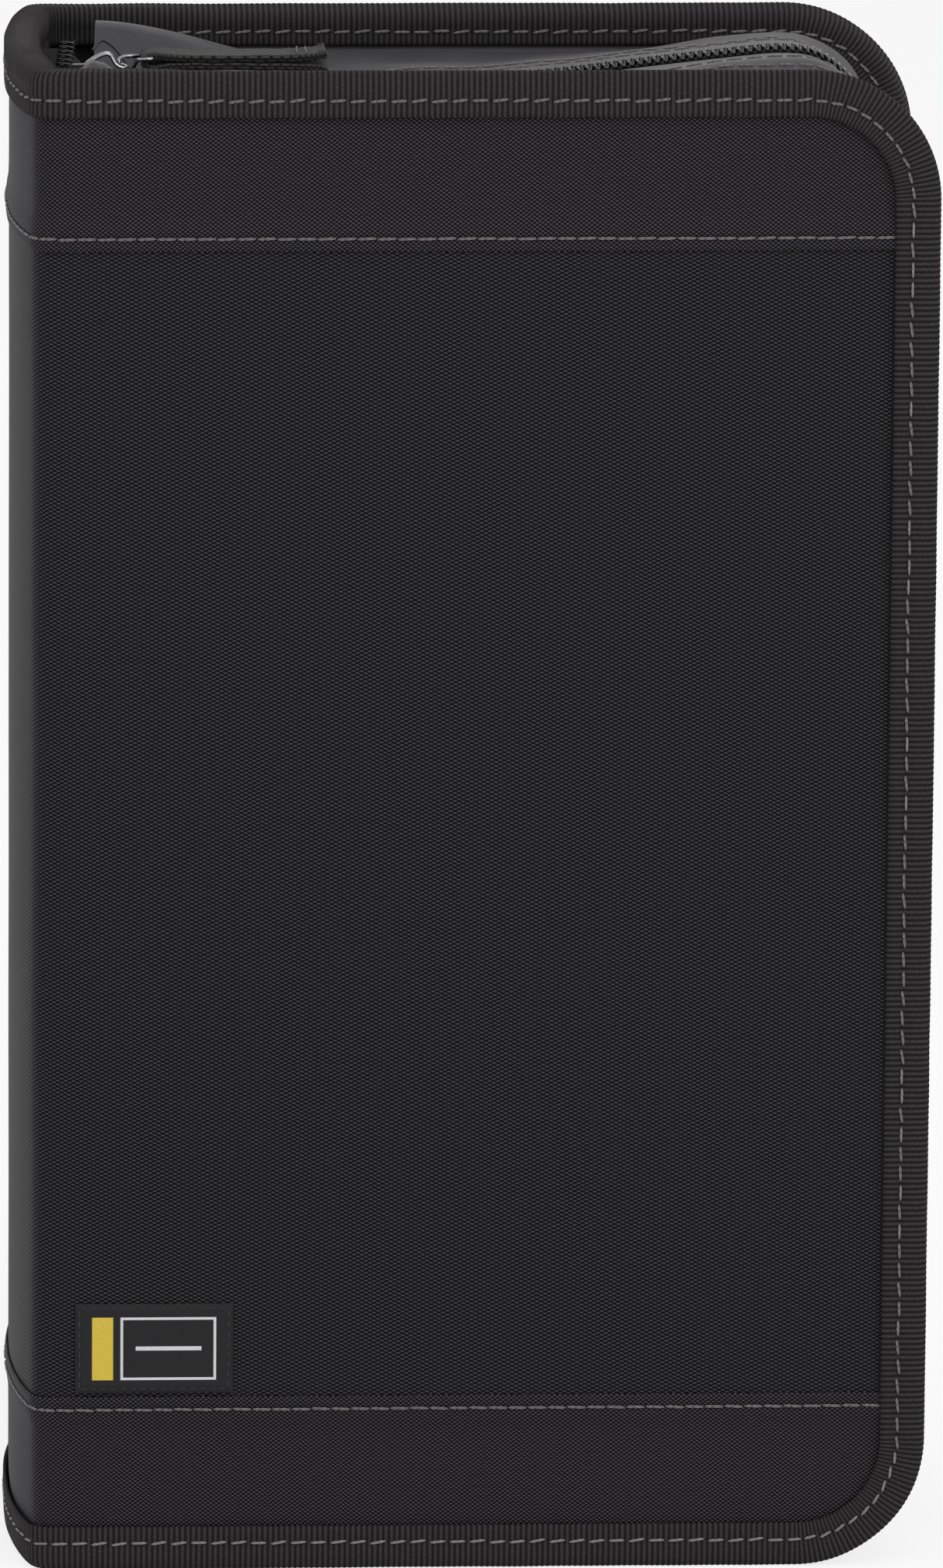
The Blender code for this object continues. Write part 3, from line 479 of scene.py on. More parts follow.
for side, cover in ((-1, "front"), (1, "back")):
    rows = int(TAPE_RUN / RIB_PITCH) * 4
    columns = len(TAPE_SECTION) - 1

    def tape_place(u, v):
        i = round(u * columns)
        depth, inset = TAPE_SECTION[i]
        if 1 < i < columns - 3:
            before, after = Vector(TAPE_SECTION[i - 1]), Vector(TAPE_SECTION[i + 1])
            normal = Vector(((after - before).y, -(after - before).x)).normalized()
            rib = math.cos(2 * math.pi * v * TAPE_RUN / RIB_PITCH) * RIB_HEIGHT / MM * 0.5
            rib += noise.noise(Vector((v * TAPE_RUN * 90, inset * 0.4, side * 5 + depth * 0.2))) * 0.1
            depth, inset = depth - normal.x * rib, inset - normal.y * rib
        from_spine = min(v, 1 - v) * TAPE_RUN
        pressed = ease(2.4, 5.6, depth) * (1 - ease(1.4, 4, inset))
        pressed *= ease(WALL_RUN, WALL_RUN + 25 * MM, from_spine)
        return tape_at(side, v * TAPE_RUN, max(depth, 0) * MM, (max(inset, 0) + 0.8 * pressed) * MM)

    tape = lay_cloth(
        f"{cover}_edge_tape", columns, rows, tape_place,
        lambda u, v: (v * TAPE_RUN, u * 26 * MM), flip=side < 0, closed=True,
    )
    tape.data.materials.append(tape_cloth)
    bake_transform(tape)
    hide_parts(f"{cover}_binding", "spine_top_binding", "spine_bottom_binding")


# Sewing: light grey three-ply thread. Each stitch is a bead of thread between two needle holes, and one row
# holds the edge tape's two legs, one each hem, and two rows run round the gussets beside the zip.
STITCH_PITCH = 3.8 * MM
THREAD_ROUND = 1.6 * MM
PLY_TWIST = 9000.0
bead_bm = bmesh.new()
bead_cut = bead_bm.loops.layers.uv.new("cut")
bmesh.ops.create_uvsphere(bead_bm, u_segments=7, v_segments=5, radius=0.5)
for face in bead_bm.faces:
    for loop in face.loops:
        x, y, z = loop.vert.co
        loop[bead_cut].uv = (z * 3 * MM, math.atan2(y, x) / math.tau * THREAD_ROUND)
for vert in bead_bm.verts:
    vert.co.z = math.copysign(0.5 * (abs(vert.co.z) * 2) ** 0.45, vert.co.z)
bead_mesh = bpy.data.meshes.new("bead")
bead_bm.to_mesh(bead_mesh)
bead_bm.free()



def plies(tree, along, across):
    """The three plies of a thread, laid round it at a slant."""
    slant = figure(tree, "MULTIPLY", along, PLY_TWIST)
    return figure(tree, "SINE", figure(tree, "MULTIPLY_ADD", across, 2 * math.pi / THREAD_ROUND * 3, slant))


thread, tree, shader = new_finish("thread", 0.6, 0.3)
along, across, uv = cut_measure(tree)
ply = plies(tree, along, across)
fuzz = add_node(tree, "ShaderNodeTexNoise", uv, None, 3000.0, 2.0)
lit = figure(tree, "MULTIPLY_ADD", ply, 0.2, fuzz)
tint(tree, shader, lit, (0.2, (0.09, 0.083, 0.084)), (0.8, (0.34, 0.318, 0.32)))
raise_relief(tree, shader, ply, 0.06 * MM)


def sew(name, body, holes, thickness, material, blend_side=None):
    """One bead of thread between each pair of needle holes."""
    bm = bmesh.new()
    for start, end in holes:
        bead = bead_mesh.copy()
        along = end - start
        turn = along.to_track_quat("Z", "Y").to_matrix().to_4x4()
        size = Matrix.Diagonal((thickness, thickness, along.length, 1))
        bead.transform(Matrix.Translation((start + end) / 2) @ turn @ size)
        bm.from_mesh(bead)
        bpy.data.meshes.remove(bead)
    row = settle(bm, name)
    row.data.materials.append(material)
    if blend_side:
        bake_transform(row)
    else:
        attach(row, body)
    return row


for side, cover in ((-1, "front"), (1, "back")):
    chance = random.Random(3 + side)
    holes = []
    for depth, stitch in ((0.1 * MM, OUTER_STITCH), (TAPE_DEPTH - 0.08 * MM, INNER_STITCH)):
        run = 2 * MM
        while run < TAPE_RUN - 2 * MM:
            length = 3.05 * MM
            if depth > 3 * MM and min(run, TAPE_RUN - run - length) < WALL_RUN + 2 * MM:
                run += STITCH_PITCH
                continue
            tilt = chance.uniform(0.02, 0.28) * MM
            inset = stitch + chance.uniform(-0.12, 0.12) * MM
            first = tape_at(side, run, depth, inset + tilt)
            holes.append((first, tape_at(side, run + length, depth, inset - tilt)))
            run += STITCH_PITCH
    for turned in (False, True):
        run = 1 * MM
        while run < SPINE_RUN + FREE_EDGE - 9 * MM:
            ends = []
            for at, tilt in ((run, 0.06), (run + 3.6 * MM, -0.06)):
                from_end = HEM_STITCH + (tilt + chance.uniform(-0.07, 0.07)) * MM
                ends.append(cloth_point(side, at, from_end if turned else HEIGHT - from_end, 0.62 * MM))
            holes.append(tuple(ends))
            run += 3.75 * MM
    row = sew(f"{cover}_cover_stitches", f"{cover}_cover", holes, 0.54 * MM, thread, blend_side=side)


# Gussets: soft satin walls between the covers and the zip, caught under the edge tape's inner leg.
# The cloth is slack, so it lies in shallow folds and stands up where it ends beside the spine.
GUSSET_WIDTH = 34 * MM
CHAIN_START = -80.0 * MM
ZIP_COURSE = ((0.0, 10.5), (0.25, 9.85), (0.5, 9.1), (0.67, 7.5), (0.84, 4.5), (1.0, 2.0))
ZIP_SIDE_INSET = 13 * MM


def zip_inset(run):
    """How far inside the outline the zip's middle lies."""
    turned = run > RIM_MIDDLE
    near = 2 * RIM_MIDDLE - run if turned else run
    if near < CORNER_X:
        share = (near - CHAIN_START) / (CORNER_X - CHAIN_START)
        for (low, low_inset), (high, high_inset) in zip(ZIP_COURSE, ZIP_COURSE[1:]):
            if share <= high:
                break
        inset = (low_inset + (high_inset - low_inset) * (share - low) / (high - low)) * MM
    elif near < CORNER_X + CORNER_RUN:
        inset = 2 * MM + (ZIP_SIDE_INSET - 2 * MM) * (near - CORNER_X) / CORNER_RUN
    else:
        inset = ZIP_SIDE_INSET
    return max(inset, 3 * MM) if turned else inset


def eased_inset(run):
    """The zip's inset with its bends rounded off."""
    return sum(zip_inset(run + step * MM) for step in (-6, -3, 0, 3, 6)) / 5


def gusset_at(side, run, t):
    """A point on a gusset, from its flange under the tape (t = 0) to the zip (t = 1)."""
    at_zip = eased_inset(run) / MM
    middle = (9.6 + at_zip) / 2
    near = run if run < RIM_MIDDLE else 2 * RIM_MIDDLE - run
    corner = ease(18 * MM, 52 * MM, near) * (1 - ease(95 * MM, 115 * MM, near))
    raised = corner * (side > 0)
    line = [
        (5.0, 32.75), (7.3, 32.75), (8.3 - 0.4 * raised, 32.0), (9.0 - 1.7 * raised, 30.4),
        (middle + 0.8 - 1.5 * raised - 1.2 * corner, 25.5),
        (middle * 0.45 + at_zip * 0.55 + 0.8 - 1.2 * corner, 19.0),
        (at_zip + 0.9 - 1.5 * corner * (side < 0), 14.0), (at_zip + 0.35 - 0.7 * corner * (side < 0), 10.0),
        (at_zip, 6.6), (at_zip, 4.8),
    ]
    inset, out = through(line, t)
    slack = math.sin(math.pi * min(max((t - 0.25) / 0.6, 0), 1)) ** 1.5
    fold = math.sin(run * 62 + out * 0.16 + side) * 0.35
    fold += noise.noise(Vector((run * 60, out * 0.07, side * 3))) * 1.1
    inset += slack * fold
    if side > 0:
        standing = (1 - ease(-70 * MM, -20 * MM, run)) ** 1.2 * ease(13, 24, out) * (1 - ease(27, 31.8, out))
        inset += (1.6 - inset) * standing
    else:
        standing = ease(-76 * MM, -72.5 * MM, run) * (1 - ease(-71 * MM, -58 * MM, run))
        inset += (2.2 - inset) * standing * ease(7, 12.5, out) * (1 - ease(15, 26, out))
    x, z = rim_at(run, inset * MM)
    return Vector((x, side * out * MM, z))


satin, tree, shader = new_finish("satin_lining", 0.5, 0.25)
along, across, uv = cut_measure(tree)
weft = sine_along(tree, across, 0.34 * MM)
mottle = add_node(tree, "ShaderNodeTexNoise", uv, None, 120.0, 4.0)
stretched = add_node(tree, "ShaderNodeMapping", uv, None, None, (600, 4000, 1))
grain = add_node(tree, "ShaderNodeTexNoise", stretched, None, 1.0, 2.0)
lit = figure(tree, "MULTIPLY_ADD", mottle, 0.5, figure(tree, "MULTIPLY", grain, 0.5))
tint(tree, shader, lit, (0.25, (0.021, 0.0194, 0.0222)), (0.75, (0.047, 0.044, 0.0494)))
raise_relief(tree, shader, figure(tree, "MULTIPLY_ADD", weft, 0.3, grain), 0.04 * MM, 0.5)
shader.inputs["Sheen Weight"].default_value = 0.12
shader.inputs["Anisotropic"].default_value = 0.4


def wire_curve(name, points, radius, material, cyclic=False, sides=2):
    """A round wire through some points."""
    curve = bpy.data.curves.new(name, "CURVE")
    curve.dimensions = "3D"
    curve.bevel_depth = radius
    curve.bevel_resolution = sides
    curve.use_fill_caps = True
    spline = curve.splines.new("POLY")
    spline.points.add(len(points) - 1)
    for point, place in zip(spline.points, points):
        point.co = (*place, 1)
    spline.use_cyclic_u = cyclic
    curve.materials.append(material)
    wire = bpy.data.objects.new(name, curve)
    bpy.context.scene.collection.objects.link(wire)
    return wire


for side, cover, start, slant in ((-1, "front", -73.5 * MM, 0), (1, "back", -70.5 * MM, 3.6 * MM)):
    end = 2 * RIM_MIDDLE - start

    def gusset_place(u, v):
        """The whole gusset, its end beside the spine cut at a slant."""
        shift = slant * max(0.7 - u, 0) * max(1 - 12 * v, 0)
        return gusset_at(side, start + (end - start) * v + shift, u)

    gusset = lay_cloth(
        f"{cover}_gusset_satin", 32, 260, gusset_place,
        lambda u, v: (start + (end - start) * v, u * GUSSET_WIDTH),
        flip=side < 0,
    )
    gusset.data.materials.append(satin)
    thicken(gusset, 0.4 * MM, 0)
    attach(gusset, f"{cover}_cover")
    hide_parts(f"{cover}_gusset")
    if side > 0:
        fold_line = [(-70.3, 0.56), (-68.6, 0.535), (-66.6, 0.545), (-64.6, 0.575), (-62.6, 0.62)]
        rolled = []
        for i in range(40):
            run, share = through(fold_line, i / 39)
            rolled.append(gusset_at(side, run * MM, share) + Vector((0, -0.2, 0.15)) * MM)
        rolled_edge = wire_curve("gusset_rolled_edge", rolled, 0.28 * MM, satin)
        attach(rolled_edge, f"{cover}_cover")
    chance = random.Random(8 + side)
    holes = []
    for share, wave in ((0.735, 0.0), (0.61, 1.9)):
        run = start + (8 + wave) * MM
        while run < end - 8 * MM:
            pair = []
            for at in (run, run + 3.0 * MM):
                pair.append(gusset_at(side, at, share + chance.uniform(-0.003, 0.003)))
            (x, z), (inner_x, inner_z) = rim_at(run, 0), rim_at(run, 1 * MM)
            lift = Vector((x - inner_x, 0, z - inner_z)) * 0.34
            holes.append((pair[0] + lift, pair[1] + lift))
            run += STITCH_PITCH
    row = sew(f"{cover}_gusset_stitches", f"{cover}_cover", holes, 0.5 * MM, thread)


# Zip: a black nylon coil on each woven tape. The two coils mesh from the slider on round the case,
# each turn of one standing between two turns of the other.
COIL_PITCH = 1.6 * MM
ZIP_TAPE_WIDTH = 11 * MM
coil_nylon, tree, shader = new_finish("coil_nylon", 0.2, 0.5)
where = tree.nodes.new("ShaderNodeTexCoord").outputs["Object"]
haze = add_node(tree, "ShaderNodeTexNoise", where, None, 700.0, 2.0)
tint(tree, shader, haze, (0.3, (0.005, 0.005, 0.0055)), (0.7, (0.014, 0.014, 0.0145)))
tree.links.new(figure(tree, "MULTIPLY_ADD", haze, 0.16, 0.12), shader.inputs["Roughness"])

zip_cloth, tree, shader = new_finish("zip_cloth", 0.8, 0.15)
along, across, uv = cut_measure(tree)
slant = figure(tree, "PINGPONG", across, 2.2 * MM)
chevron = sine_along(tree, figure(tree, "ADD", along, slant), 0.7 * MM)
lit = figure(tree, "MULTIPLY_ADD", chevron, 0.5, 0.5)
tint(tree, shader, lit, (0.0, (0.006, 0.006, 0.006)), (1.0, (0.032, 0.031, 0.031)))
raise_relief(tree, shader, chevron, 0.08 * MM, 0.8)


for side, cover in ((-1, "front"), (1, "back")):
    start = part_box(f"{cover}_zip_coil")[0].x
    tape_end = 2 * RIM_MIDDLE - CHAIN_START

    def zip_tape_place(u, v):
        run = CHAIN_START + (tape_end - CHAIN_START) * v
        across = 1.0 + 11.0 * u
        x, z = rim_at(run, eased_inset(run) + 0.9 * MM)
        if side > 0:
            z += 7.4 * MM * ease(1.5, 14, across) * (1 - ease(-74.5 * MM, -71 * MM, run))
        return Vector((x, side * across * MM, z))

    zip_tape = lay_cloth(
        f"{cover}_zip_tape_cloth", 6, 260, zip_tape_place,
        lambda u, v: (CHAIN_START + (tape_end - CHAIN_START) * v, u * ZIP_TAPE_WIDTH), flip=side > 0,
    )
    zip_tape.data.materials.append(zip_cloth)
    thicken(zip_tape, 0.5 * MM, 0)
    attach(zip_tape, f"{cover}_cover")
    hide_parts(f"{cover}_zip_tape")

    turns = int((2 * RIM_MIDDLE - 2 * start) / COIL_PITCH)
    coil_points = []
    for i in range(turns * 12):
        angle = math.tau * i / 12
        run = start + COIL_PITCH * (i / 12 + (0.5 if side > 0 else 0.0))
        across = 1.3 + 1.38 * math.cos(angle)
        inset = eased_inset(run) + (-0.45 + 0.42 * math.sin(angle)) * MM
        x, z = rim_at(run, inset)
        coil_points.append((x, side * across * MM, z))
    coil = wire_curve(f"{cover}_coil", coil_points, 0.33 * MM, coil_nylon, sides=1)
    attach(coil, f"{cover}_cover")
    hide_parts(f"{cover}_zip_coil")

TAIL_TURNS = 6
tail_start, tail_end = Vector((-75.2, 13.0, 287.0)) * MM, Vector((-76.0, 6.0, 283.3)) * MM
tail_across = Vector((1, 0, 0))
tail_up = tail_across.cross(tail_start - tail_end).normalized()
tail_points = []
for i in range(TAIL_TURNS * 14):
    angle = math.tau * i / 14
    spot = tail_start.lerp(tail_end, i / (TAIL_TURNS * 14))
    tail_points.append(spot + (tail_across * 1.45 * math.cos(angle) - tail_up * 0.42 * math.sin(angle)) * MM)
tail = wire_curve("coil_end", tail_points, 0.2 * MM, coil_nylon, sides=1)
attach(tail, "back_cover")


# Slider, ring and link: the slider is a black enamelled casting; a bent steel wire ring stands in its
# bridge, and a second wire link hangs on the ring and carries the cloth pull.
enamel, tree, shader = new_finish("slider_enamel", 0.35, 0.5)
where = tree.nodes.new("ShaderNodeTexCoord").outputs["Object"]
worn = add_node(tree, "ShaderNodeTexNoise", where, None, 500.0, 4.0)
tint(tree, shader, worn, (0.35, (0.012, 0.012, 0.013)), (0.7, (0.03, 0.03, 0.031)))
raise_relief(tree, shader, worn, 0.03 * MM, 0.4)
slider = frame["nodes"]["zip_slider"]
slider.data.materials.clear()
slider.data.materials.append(enamel)

steel, tree, shader = new_finish("wire_steel", 0.22, 0.5, metallic=1.0)
where = tree.nodes.new("ShaderNodeTexCoord").outputs["Object"]
stretched = add_node(tree, "ShaderNodeMapping", where, None, None, (300, 2500, 2500))
drawn = add_node(tree, "ShaderNodeTexNoise", stretched, None, 1.0, 2.0)
tint(tree, shader, drawn, (0.3, (0.20, 0.20, 0.21)), (0.7, (0.34, 0.34, 0.35)))

CHAIN_SLOPE = math.radians(1.045)
LINK_TILT = CHAIN_SLOPE + math.radians(1.5)
joint_at = {joint["name"]: Vector(joint["pos_m"]) for joint in frame["joints"] if "pos_m" in joint}


def wire_loop(name, body, pivot, tilt, half, radius, mirror):
    """A closed loop of bright wire: one side's points in millimetres from its pivot, and its match."""
    stand = Matrix.Translation(pivot) @ Matrix.Rotation(-tilt, 4, "Y")
    loop = half + [mirror(*point) for point in reversed(half)]
    smooth = [stand @ (through(loop + loop[:1], i / 111) * MM) for i in range(111)]
    wire = wire_curve(name, smooth, radius, steel, cyclic=True, sides=4)
    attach(wire, body)
    return wire


RING_SIDE = [
    (0, 0.9, 0), (-0.1, 1.4, 0.3), (0.5, 1.3, 1.3), (1.6, 1.1, 2.3), (2.9, 0.9, 3.1), (4.1, 0.8, 3.6),
    (5.0, 0.8, 3.65), (5.6, 0.9, 3.1), (6.1, 1.2, 2.2), (6.8, 1.6, 1.5), (7.8, 1.6, 1.15), (8.3, 0.8, 1.1),
]
ring = wire_loop("bent_ring", "ring", joint_at["ring_swing"], CHAIN_SLOPE, RING_SIDE, 0.36 * MM,
                 lambda x, y, z: (x, -y, z))
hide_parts("slider_ring")

LINK_SIDE = [
    (-1.6, 0.1, 1.0), (-1.45, 0.3, 1.5), (-0.4, 0.35, 1.9), (0.9, 0.5, 1.9), (1.9, 2.0, 1.5),
    (2.7, 3.9, 1.1), (3.5, 4.9, 1.0), (4.3, 4.8, 1.0), (4.6, 4.2, 1.1), (4.6, 2.8, 1.2),
]


def twisted(x, y, z):
    """The link's near side: under the ring's foot, where the far side goes over it, and bent up beyond."""
    under = 2 * max(z, 0) * (1 - ease(0, 2, x))
    return x, -y, z - under + 1.1 * ease(0, 3, x) * ease(2.8, 4.6, y)


link = wire_loop("twisted_link", "pull", joint_at["pull_swing"], LINK_TILT, LINK_SIDE, 0.4 * MM, twisted)
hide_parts("pull_link")


# Pull: a woven tape folded round the link's far bar, its two layers sewn together near the cut ends,
# which splay and fray a little.
pull_cloth, tree, shader = new_finish("pull_cloth", 0.85, 0.1)
along, across, uv = cut_measure(tree)
crowns = floats(tree, along, across, 1.1 * MM, 0.75 * MM, 0.95, 0.9)
lint = add_node(tree, "ShaderNodeTexNoise", uv, None, 2200.0, 3.0)
lit = figure(tree, "MULTIPLY", crowns, figure(tree, "MULTIPLY_ADD", lint, 1.2, 0.3))
tint(tree, shader, lit, (0.0, (0.003, 0.003, 0.003)), (1.0, (0.052, 0.048, 0.046)))
raise_relief(tree, shader, figure(tree, "MULTIPLY_ADD", lint, 0.4, crowns), 0.3 * MM)
shader.inputs["Sheen Weight"].default_value = 0.15

PULL_PATH = (
    (33.0, 1.75), (31, 1.3), (27, 1.0), (20, 0.85), (10, 0.8), (4.5, 0.9), (1.6, 1.2), (0.3, 1.3),
    (-1.0, 0.95), (-1.45, 0), (-1.0, -0.95), (0.3, -1.25), (1.6, -1.1), (4.5, -0.75), (10, -0.65),
    (20, -0.7), (27, -0.75), (31, -0.95), (33.0, -1.5),
)
PULL_SECTION = (
    (0.5, -1), (0.56, -0.92), (0.5, -0.6), (0.52, 0), (0.5, 0.6), (0.56, 0.92), (0.5, 1), (-0.5, 1),
    (-0.56, 0.92), (-0.5, 0.6), (-0.52, 0), (-0.5, -0.6), (-0.56, -0.92), (-0.5, -1), (0.5, -1),
)
PULL_LAYER = 1.2
PULL_HALF_WIDTH = 4
PULL_SINK = 0.05
pull_frame = Matrix.Translation(joint_at["pull_swing"]) @ Matrix.Rotation(-LINK_TILT, 4, "Y")
pull_frame = pull_frame @ Matrix.Translation((4.6 * MM, 0, 1.2 * MM))


def pull_place(u, v):
    """Round the tape's section (u) and along its folded length (v)."""
    at = through(PULL_PATH, v)
    if v > 0.99:
        here, there = through(PULL_PATH, v - 0.01), at
    else:
        here, there = at, through(PULL_PATH, v + 0.01)
    normal = Vector(((there - here).y, -(there - here).x)).normalized()
    up, across = PULL_SECTION[round(u * (len(PULL_SECTION) - 1))]
    lump = noise.noise(Vector((v * 40, across * 2, up * 2))) * 0.12
    spot = at + normal * (up * PULL_LAYER + lump)
    edge = across * PULL_HALF_WIDTH * (1 + 0.03 * noise.noise(Vector((v * 60, across, 3))))
    return pull_frame @ Vector((spot.x * MM, edge * MM, (spot.y - PULL_SINK * max(spot.x, 0)) * MM))


pull = lay_cloth(
    "cloth_pull", len(PULL_SECTION) - 1, 150, pull_place, lambda u, v: (v * 70 * MM, u * 18 * MM),
    closed=True,
)
pull.data.materials.append(pull_cloth)
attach(pull, "pull")
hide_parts("pull_tape")

chance = random.Random(21)
lint_holes = []
for i in range(340):
    v = chance.choice((chance.uniform(0.02, 0.98), chance.uniform(0.0, 0.05), chance.uniform(0.95, 1.0)))
    u = chance.choice((1, 2, 5, 6, 8, 9, 12, 13)) / 14
    root = pull_place(u, v)
    stray = Vector((chance.uniform(-1, 1), chance.uniform(-1, 1), chance.uniform(-0.5, 1)))
    stray *= chance.uniform(0.25, 0.7)
    lint_holes.append((root, root + stray * MM))
lint_threads = sew("pull_lint", "pull", lint_holes, 0.07 * MM, thread)
cross_holes = []
for x in (27.5, 29.2):
    for step in range(5):
        y = -3.2 + step * 1.3
        height = 2.06 - PULL_SINK * x
        low = pull_frame @ (Vector((x, y, height)) * MM)
        high = pull_frame @ (Vector((x + chance.uniform(-0.1, 0.1), y + 1.05, height)) * MM)
        cross_holes.append((low, high))
cross_threads = sew("pull_cross_stitches", "pull", cross_holes, 0.34 * MM, thread)


# Label: a small woven patch in black damask with a yellow bar and a white border line, its edges
# turned under and sewn down just above the lower band.
LABEL_WIDTH, LABEL_HEIGHT = 30 * MM, 17.5 * MM
label_low, label_high = [corner + Vector((-1.3, 0, 0.6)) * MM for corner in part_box("label")]
label_cloth, tree, shader = new_finish("label_cloth", 0.6, 0.25)
along, across, uv = cut_measure(tree)


def within(value, low, high):
    """1 between two measures in millimetres, and 0 outside them."""
    above = figure(tree, "GREATER_THAN", value, low * MM)
    return figure(tree, "MULTIPLY", above, figure(tree, "LESS_THAN", value, high * MM))


def field(left, right, low, high):
    """A field of the weave, by its sides in millimetres from the patch's lower left corner."""
    return figure(tree, "MULTIPLY", within(along, left, right), within(across, low, high))


bar = field(3.2, 7.2, 2.6, 14.9)
border = figure(tree, "SUBTRACT", field(8.6, 26.8, 2.6, 14.9), field(9.1, 26.3, 3.1, 14.4))
white = figure(tree, "MINIMUM", figure(tree, "ADD", border, field(11.5, 24, 8.4, 9.2)), 1.0)
picks, wefts = sine_along(tree, along, 0.28 * MM), sine_along(tree, across, 0.34 * MM)
thread_relief = figure(tree, "MULTIPLY", picks, wefts)
ground = shade(tree, thread_relief, (0.0, (0.005, 0.005, 0.006)), (1.0, (0.022, 0.022, 0.025)))
yellow = shade(tree, thread_relief, (0.0, (0.62, 0.46, 0.05)), (1.0, (0.80, 0.62, 0.09)))
pale = shade(tree, thread_relief, (0.0, (0.6, 0.6, 0.62)), (1.0, (0.85, 0.85, 0.86)))
colour = add_node(tree, "ShaderNodeMixRGB", bar, ground, yellow)
colour = add_node(tree, "ShaderNodeMixRGB", white, colour, pale)
tree.links.new(colour, shader.inputs["Base Color"])
raise_relief(tree, shader, thread_relief, 0.06 * MM, 0.6)


def label_place(u, v):
    """The patch, crowned in the middle and pressed down along its edges."""
    x = label_low.x + (label_high.x - label_low.x) * u
    z = label_low.z + (label_high.z - label_low.z) * v
    rim = min(min(u, 1 - u) * LABEL_WIDTH, min(v, 1 - v) * LABEL_HEIGHT)
    crown = ease(0, 1.2 * MM, rim)
    return Vector((x, label_high.y - (0.15 + 0.3 * crown) * MM, z))


label = lay_cloth(
    "woven_label", 60, 36, label_place,
    lambda u, v: ((label_high.x - label_low.x) * u, (label_high.z - label_low.z) * v),
)
label.data.materials.append(label_cloth)
thicken(label, 0.3 * MM)
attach(label, "front_cover")
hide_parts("label")

dark_thread, tree, shader = new_finish("dark_thread", 0.6, 0.3)
along, across, uv = cut_measure(tree)
ply = plies(tree, along, across)
lit = figure(tree, "MULTIPLY_ADD", ply, 0.5, 0.5)
tint(tree, shader, lit, (0.0, (0.015, 0.015, 0.017)), (1.0, (0.10, 0.10, 0.105)))
raise_relief(tree, shader, ply, 0.05 * MM)
label_holes = []
for start, end in (
    ((0.028, 0.05), (0.972, 0.05)), ((0.028, 0.95), (0.972, 0.95)),
    ((0.028, 0.05), (0.028, 0.95)), ((0.972, 0.05), (0.972, 0.95)),
):
    start, end = Vector(start), Vector(end)
    side_length = Vector(((end - start).x * LABEL_WIDTH, (end - start).y * LABEL_HEIGHT)).length
    count = round(side_length / (1.9 * MM))
    for i in range(count):
        pair = []
        for share in (0.12, 0.72):
            pair.append(label_place(*start.lerp(end, (i + share) / count)) - Vector((0, 0.06, 0)) * MM)
        label_holes.append(tuple(pair))
label_stitches = sew("label_stitches", "front_cover", label_holes, 0.26 * MM, dark_thread)


# Boards: grey board stiffens the covers, and a thinner one, bowed in a press, the spine.
# They lie loose between the outer cloth and the lining, shut in by the edge tape.
board, tree, shader = new_finish("grey_board", 0.9, 0.2)
where = tree.nodes.new("ShaderNodeTexCoord").outputs["Object"]
fibre = add_node(tree, "ShaderNodeTexNoise", where, None, 900.0, 5.0)
tint(tree, shader, fibre, (0.3, (0.22, 0.20, 0.18)), (0.7, (0.33, 0.31, 0.28)))
raise_relief(tree, shader, fibre, 0.1 * MM, 0.4)
for name in ("front_board", "back_board", "spine_board"):
    node = frame["nodes"][name]
    node.data.materials.clear()
    node.data.materials.append(board)


# Linings: the gussets' satin again, laid over the inner face of each board and of the spine, its edges
# caught under the edge tape.
LINING_RUN = 27 * MM
LINING_INSET = 1.3 * MM
LINING_HEIGHT = HEIGHT - 2 * LINING_INSET
for side, cover in ((-1, "front"), (1, "back")):
    lining_reach = SPINE_RUN + FREE_EDGE - LINING_INSET - LINING_RUN

    def lining_place(u, v):
        """From the spine's lining round the fold and over the cover's board."""
        z = LINING_INSET + LINING_HEIGHT * v
        run = LINING_RUN + (SPINE_RUN + edge_x(z) - 0.2 * MM - LINING_RUN) * u
        depth = 3.7 * MM + 0.9 * MM * ease(WALL_RUN * 0.5, WALL_RUN * 0.8, run)
        slack = noise.noise(Vector((run * 30, z * 22, 11 * side))) * 0.15 * MM
        x, y = wall_at(run, depth + slack)
        return Vector((x, side * y, z))

    lining = lay_cloth(
        f"{cover}_lining_satin", 90, 90, lining_place,
        lambda u, v: (u * lining_reach, v * LINING_HEIGHT), flip=side < 0,
    )
    lining.data.materials.append(satin)
    thicken(lining, 0.4 * MM, 0)
    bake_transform(lining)
    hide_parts(f"{cover}_lining")


def spine_sheet(name, half_run, depth, low, high, finish, replaced):
    """A strip of cloth up the inside of the spine, bowed as the spine is."""
    def place(u, v):
        run = (2 * u - 1) * half_run
        x, y = wall_at(abs(run), depth + noise.noise(Vector((run * 40, v * 6, depth))) * 0.1 * MM)
        return Vector((x, math.copysign(y, run), low + (high - low) * v))

    strip = lay_cloth(name, 40, 80, place, lambda u, v: (2 * half_run * u, (high - low) * v), flip=True)
    strip.data.materials.append(finish)
    thicken(strip, 0.5 * MM, 0)
    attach(strip, "spine")
    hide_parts(replaced)


LEAF_LOW, LEAF_HIGH = 19 * MM, HEIGHT - 19 * MM
spine_sheet("spine_lining_satin", 31.5 * MM, 3.8 * MM, LINING_INSET, HEIGHT - LINING_INSET,
            satin, "spine_lining")
spine_sheet("page_strip_cloth", 23.5 * MM, 4.8 * MM, LEAF_LOW, LEAF_HIGH,
            pull_cloth, "page_strip")


